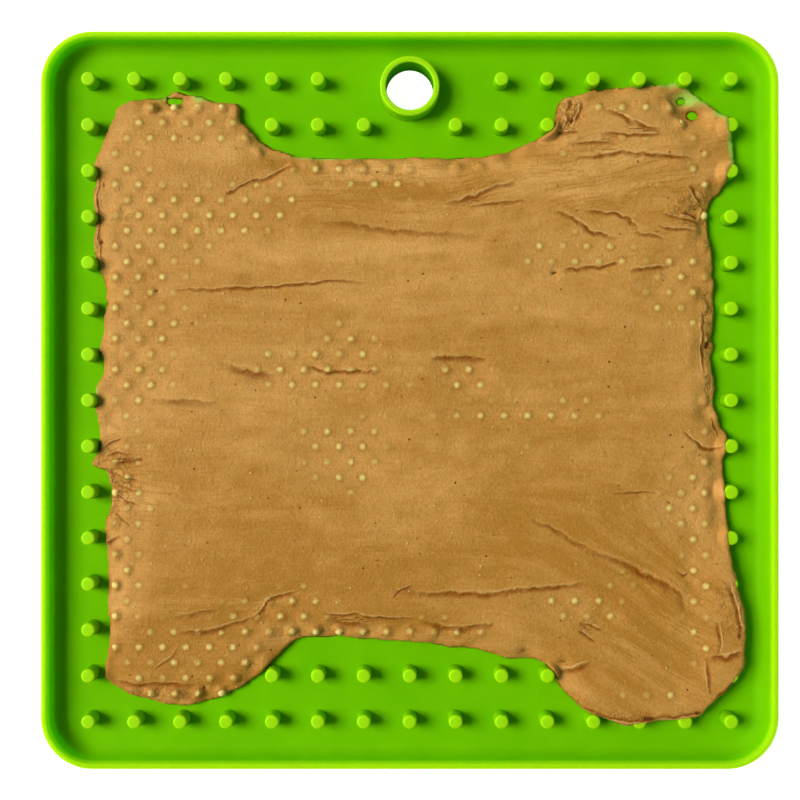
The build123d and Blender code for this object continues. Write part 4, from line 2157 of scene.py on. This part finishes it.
    def show(
        self,
        points: Array,
        kept: Array,
        values: dict[Carried, Array],
        finish: Material,
    ) -> SceneObject:
        """Turns the kept cells into a closed mesh that carries the finish's values.

        Args:
            points: The grid's points, with its rim drawn to the edge, in millimetres.
            kept: One flag for each cell.
            values: The values that the finish reads, for each grid point.
            finish: The layer's material.

        Returns:
            The new object.
        """
        numbers = np.arange(points[..., 0].size).reshape(points.shape[:2])
        around = (numbers[:-1, :-1], numbers[:-1, 1:], numbers[1:, 1:], numbers[1:, :-1])
        cells = np.stack(around, axis=-1)[kept]
        used, faces = np.unique(cells, return_inverse=True)
        corners = points.reshape(-1, 3)[used] * MM
        mesh = bpy.data.meshes.new("knife_spread_layer")
        mesh.from_pydata(corners.tolist(), [], faces.reshape(-1, 4).tolist())
        for carried, value in values.items():
            attribute = mesh.attributes.new(carried.value, "FLOAT", "POINT")
            attribute.data.foreach_set("value", value.ravel()[used])
        shape = bmesh.new()
        shape.from_mesh(mesh)
        for face in shape.faces:
            face.smooth = True
        rim = [link for link in shape.edges if link.is_boundary]
        bmesh.ops.triangle_fill(shape, edges=rim)
        bmesh.ops.recalc_face_normals(shape, faces=shape.faces)
        shape.to_mesh(mesh)
        shape.free()
        mesh.materials.append(finish)
        return shown_piece("knife_spread_layer", mesh, Slot.SPREAD, self.node)


@dataclass
class Studio:
    """The white paper, the soft light from the left, a pale backdrop and the camera straight above."""

    paper_side: float = 4000.0
    paper_gap: float = 0.05
    image_pixels: int = 800
    pixels_per_mm: float = 3.6935
    mat_middle_x: float = 409.75
    mat_middle_y: float = 400.3
    camera_rise: float = 285.0
    key_place: tuple[float, float, float] = (-2140.0, 400.0, 2160.0)
    key_side: float = 1560.0
    key_watts: float = 132.0
    key_colour: tuple[float, float, float] = (1.0, 0.91, 0.91)
    sky_colour: Colour = (0.12, 0.19, 0.13, 1.0)
    backdrop_colour: Colour = (0.85, 0.87, 0.85, 1.0)
    backdrop_rise: float = 0.14
    backdrop_end: float = 0.26

    def lay_paper(self, finish: Material) -> SceneObject:
        """Lays the paper a hair under the cups' lips.

        Args:
            finish: The paper's material.

        Returns:
            The new object.
        """
        half, depth = self.paper_side / 2 * MM, -self.paper_gap * MM
        sides = ((-1, -1), (1, -1), (1, 1), (-1, 1))
        corners = [(side_x * half, side_y * half, depth) for side_x, side_y in sides]
        sheet = bpy.data.meshes.new("studio_paper")
        sheet.from_pydata(corners, [], [(0, 1, 2, 3)])
        sheet.materials.append(finish)
        paper = bpy.data.objects.new("studio_paper", sheet)
        bpy.context.scene.collection.objects.link(paper)
        return paper

    def hang_light(self) -> None:
        """Hangs one large soft light on the left, turned to the mat."""
        lamp = bpy.data.lights.new("soft_key", "AREA")
        lamp.shape = "SQUARE"
        lamp.size = self.key_side * MM
        lamp.energy = self.key_watts
        lamp.color = self.key_colour
        key = bpy.data.objects.new("soft_key", lamp)
        key.location = Vector(self.key_place) * MM
        key.rotation_euler = (-key.location).to_track_quat("-Z", "Y").to_euler()
        bpy.context.scene.collection.objects.link(key)

    def paint_sky(self) -> None:
        """Surrounds the mat with a dim sky that pales to a backdrop at the horizon."""
        world = bpy.data.worlds.new("studio_sky")
        world.use_nodes = True
        tree = world.node_tree
        tree.nodes.clear()
        outwards = add_node(tree, "ShaderNodeTexCoord")["Generated"]
        upwards = add_node(tree, "ShaderNodeSeparateXYZ", {"Vector": outwards})["Z"]
        low = add_node(
            tree,
            "ShaderNodeMapRange",
            [upwards, self.backdrop_rise, self.backdrop_end, *FALLING],
            interpolation_type="SMOOTHSTEP",
        )
        colour = layered_colour(tree, self.sky_colour, [(low["Result"], self.backdrop_colour)])
        glow = add_node(tree, "ShaderNodeBackground", {"Color": colour})
        add_node(tree, "ShaderNodeOutputWorld", {"Surface": glow["Background"]})
        bpy.context.scene.world = world
        bpy.context.scene.view_settings.view_transform = "Standard"

    def place_camera(self, rim_top: float) -> SceneObject:
        """Looks straight down, with the mat a little right of the picture's middle as photographed.

        Args:
            rim_top: Height of the rim, in millimetres, at which the picture's scale holds.

        Returns:
            The camera.
        """
        lens = bpy.data.cameras.new("top_view")
        picture_width = self.image_pixels / self.pixels_per_mm
        lens.lens = lens.sensor_width * self.camera_rise / picture_width
        lens.shift_x = (self.image_pixels / 2 - self.mat_middle_x) / self.image_pixels
        lens.shift_y = (self.mat_middle_y - self.image_pixels / 2) / self.image_pixels
        camera = bpy.data.objects.new("top_view", lens)
        camera.location = (0, 0, (rim_top + self.camera_rise) * MM)
        bpy.context.scene.collection.objects.link(camera)
        bpy.context.scene.camera = camera
        return camera


def main() -> None:
    """Builds the mat piece by piece, then the studio round it."""
    logging.basicConfig(level=logging.INFO, format="%(name)s: %(message)s")
    floor_low, floor_high = node_box("floor_panel")
    silicone = MouldedSilicone().material(floor_high.z)
    tray_silicone = THIN_WALLED_SILICONE.material(floor_high.z)
    bore = BoreSiliconeWithPaintedShade().material(floor_low.z, node_box("hanging_eyelet")[1].z)
    studs = StudRecipe()
    pegs = ("left_pegs", "right_pegs", "top_left_pegs", "top_right_pegs", "bottom_pegs")
    nub_field = NubField()
    smear = SmearedSilicone().material(node_box(nub_field.node)[0].z)
    pieces = [
        MouldedTray().build(tray_silicone, bore),
        HangingEyelet().build(silicone, bore),
        *(PegField(node).build(studs, silicone) for node in pegs),
        nub_field.build(studs, smear),
        SuctionCups().build(silicone),
        PeanutButter().build(nub_field.places(), GroundPeanuts().material()),
    ]
    for piece in pieces:
        LOG.info("%s: %d faces", piece.name, len(piece.data.polygons))
    studio = Studio()
    studio.lay_paper(StudioPaper().material())
    studio.hang_light()
    studio.paint_sky()
    studio.place_camera(node_box("raised_rim")[1].z)


if __name__ == "__main__":
    main()
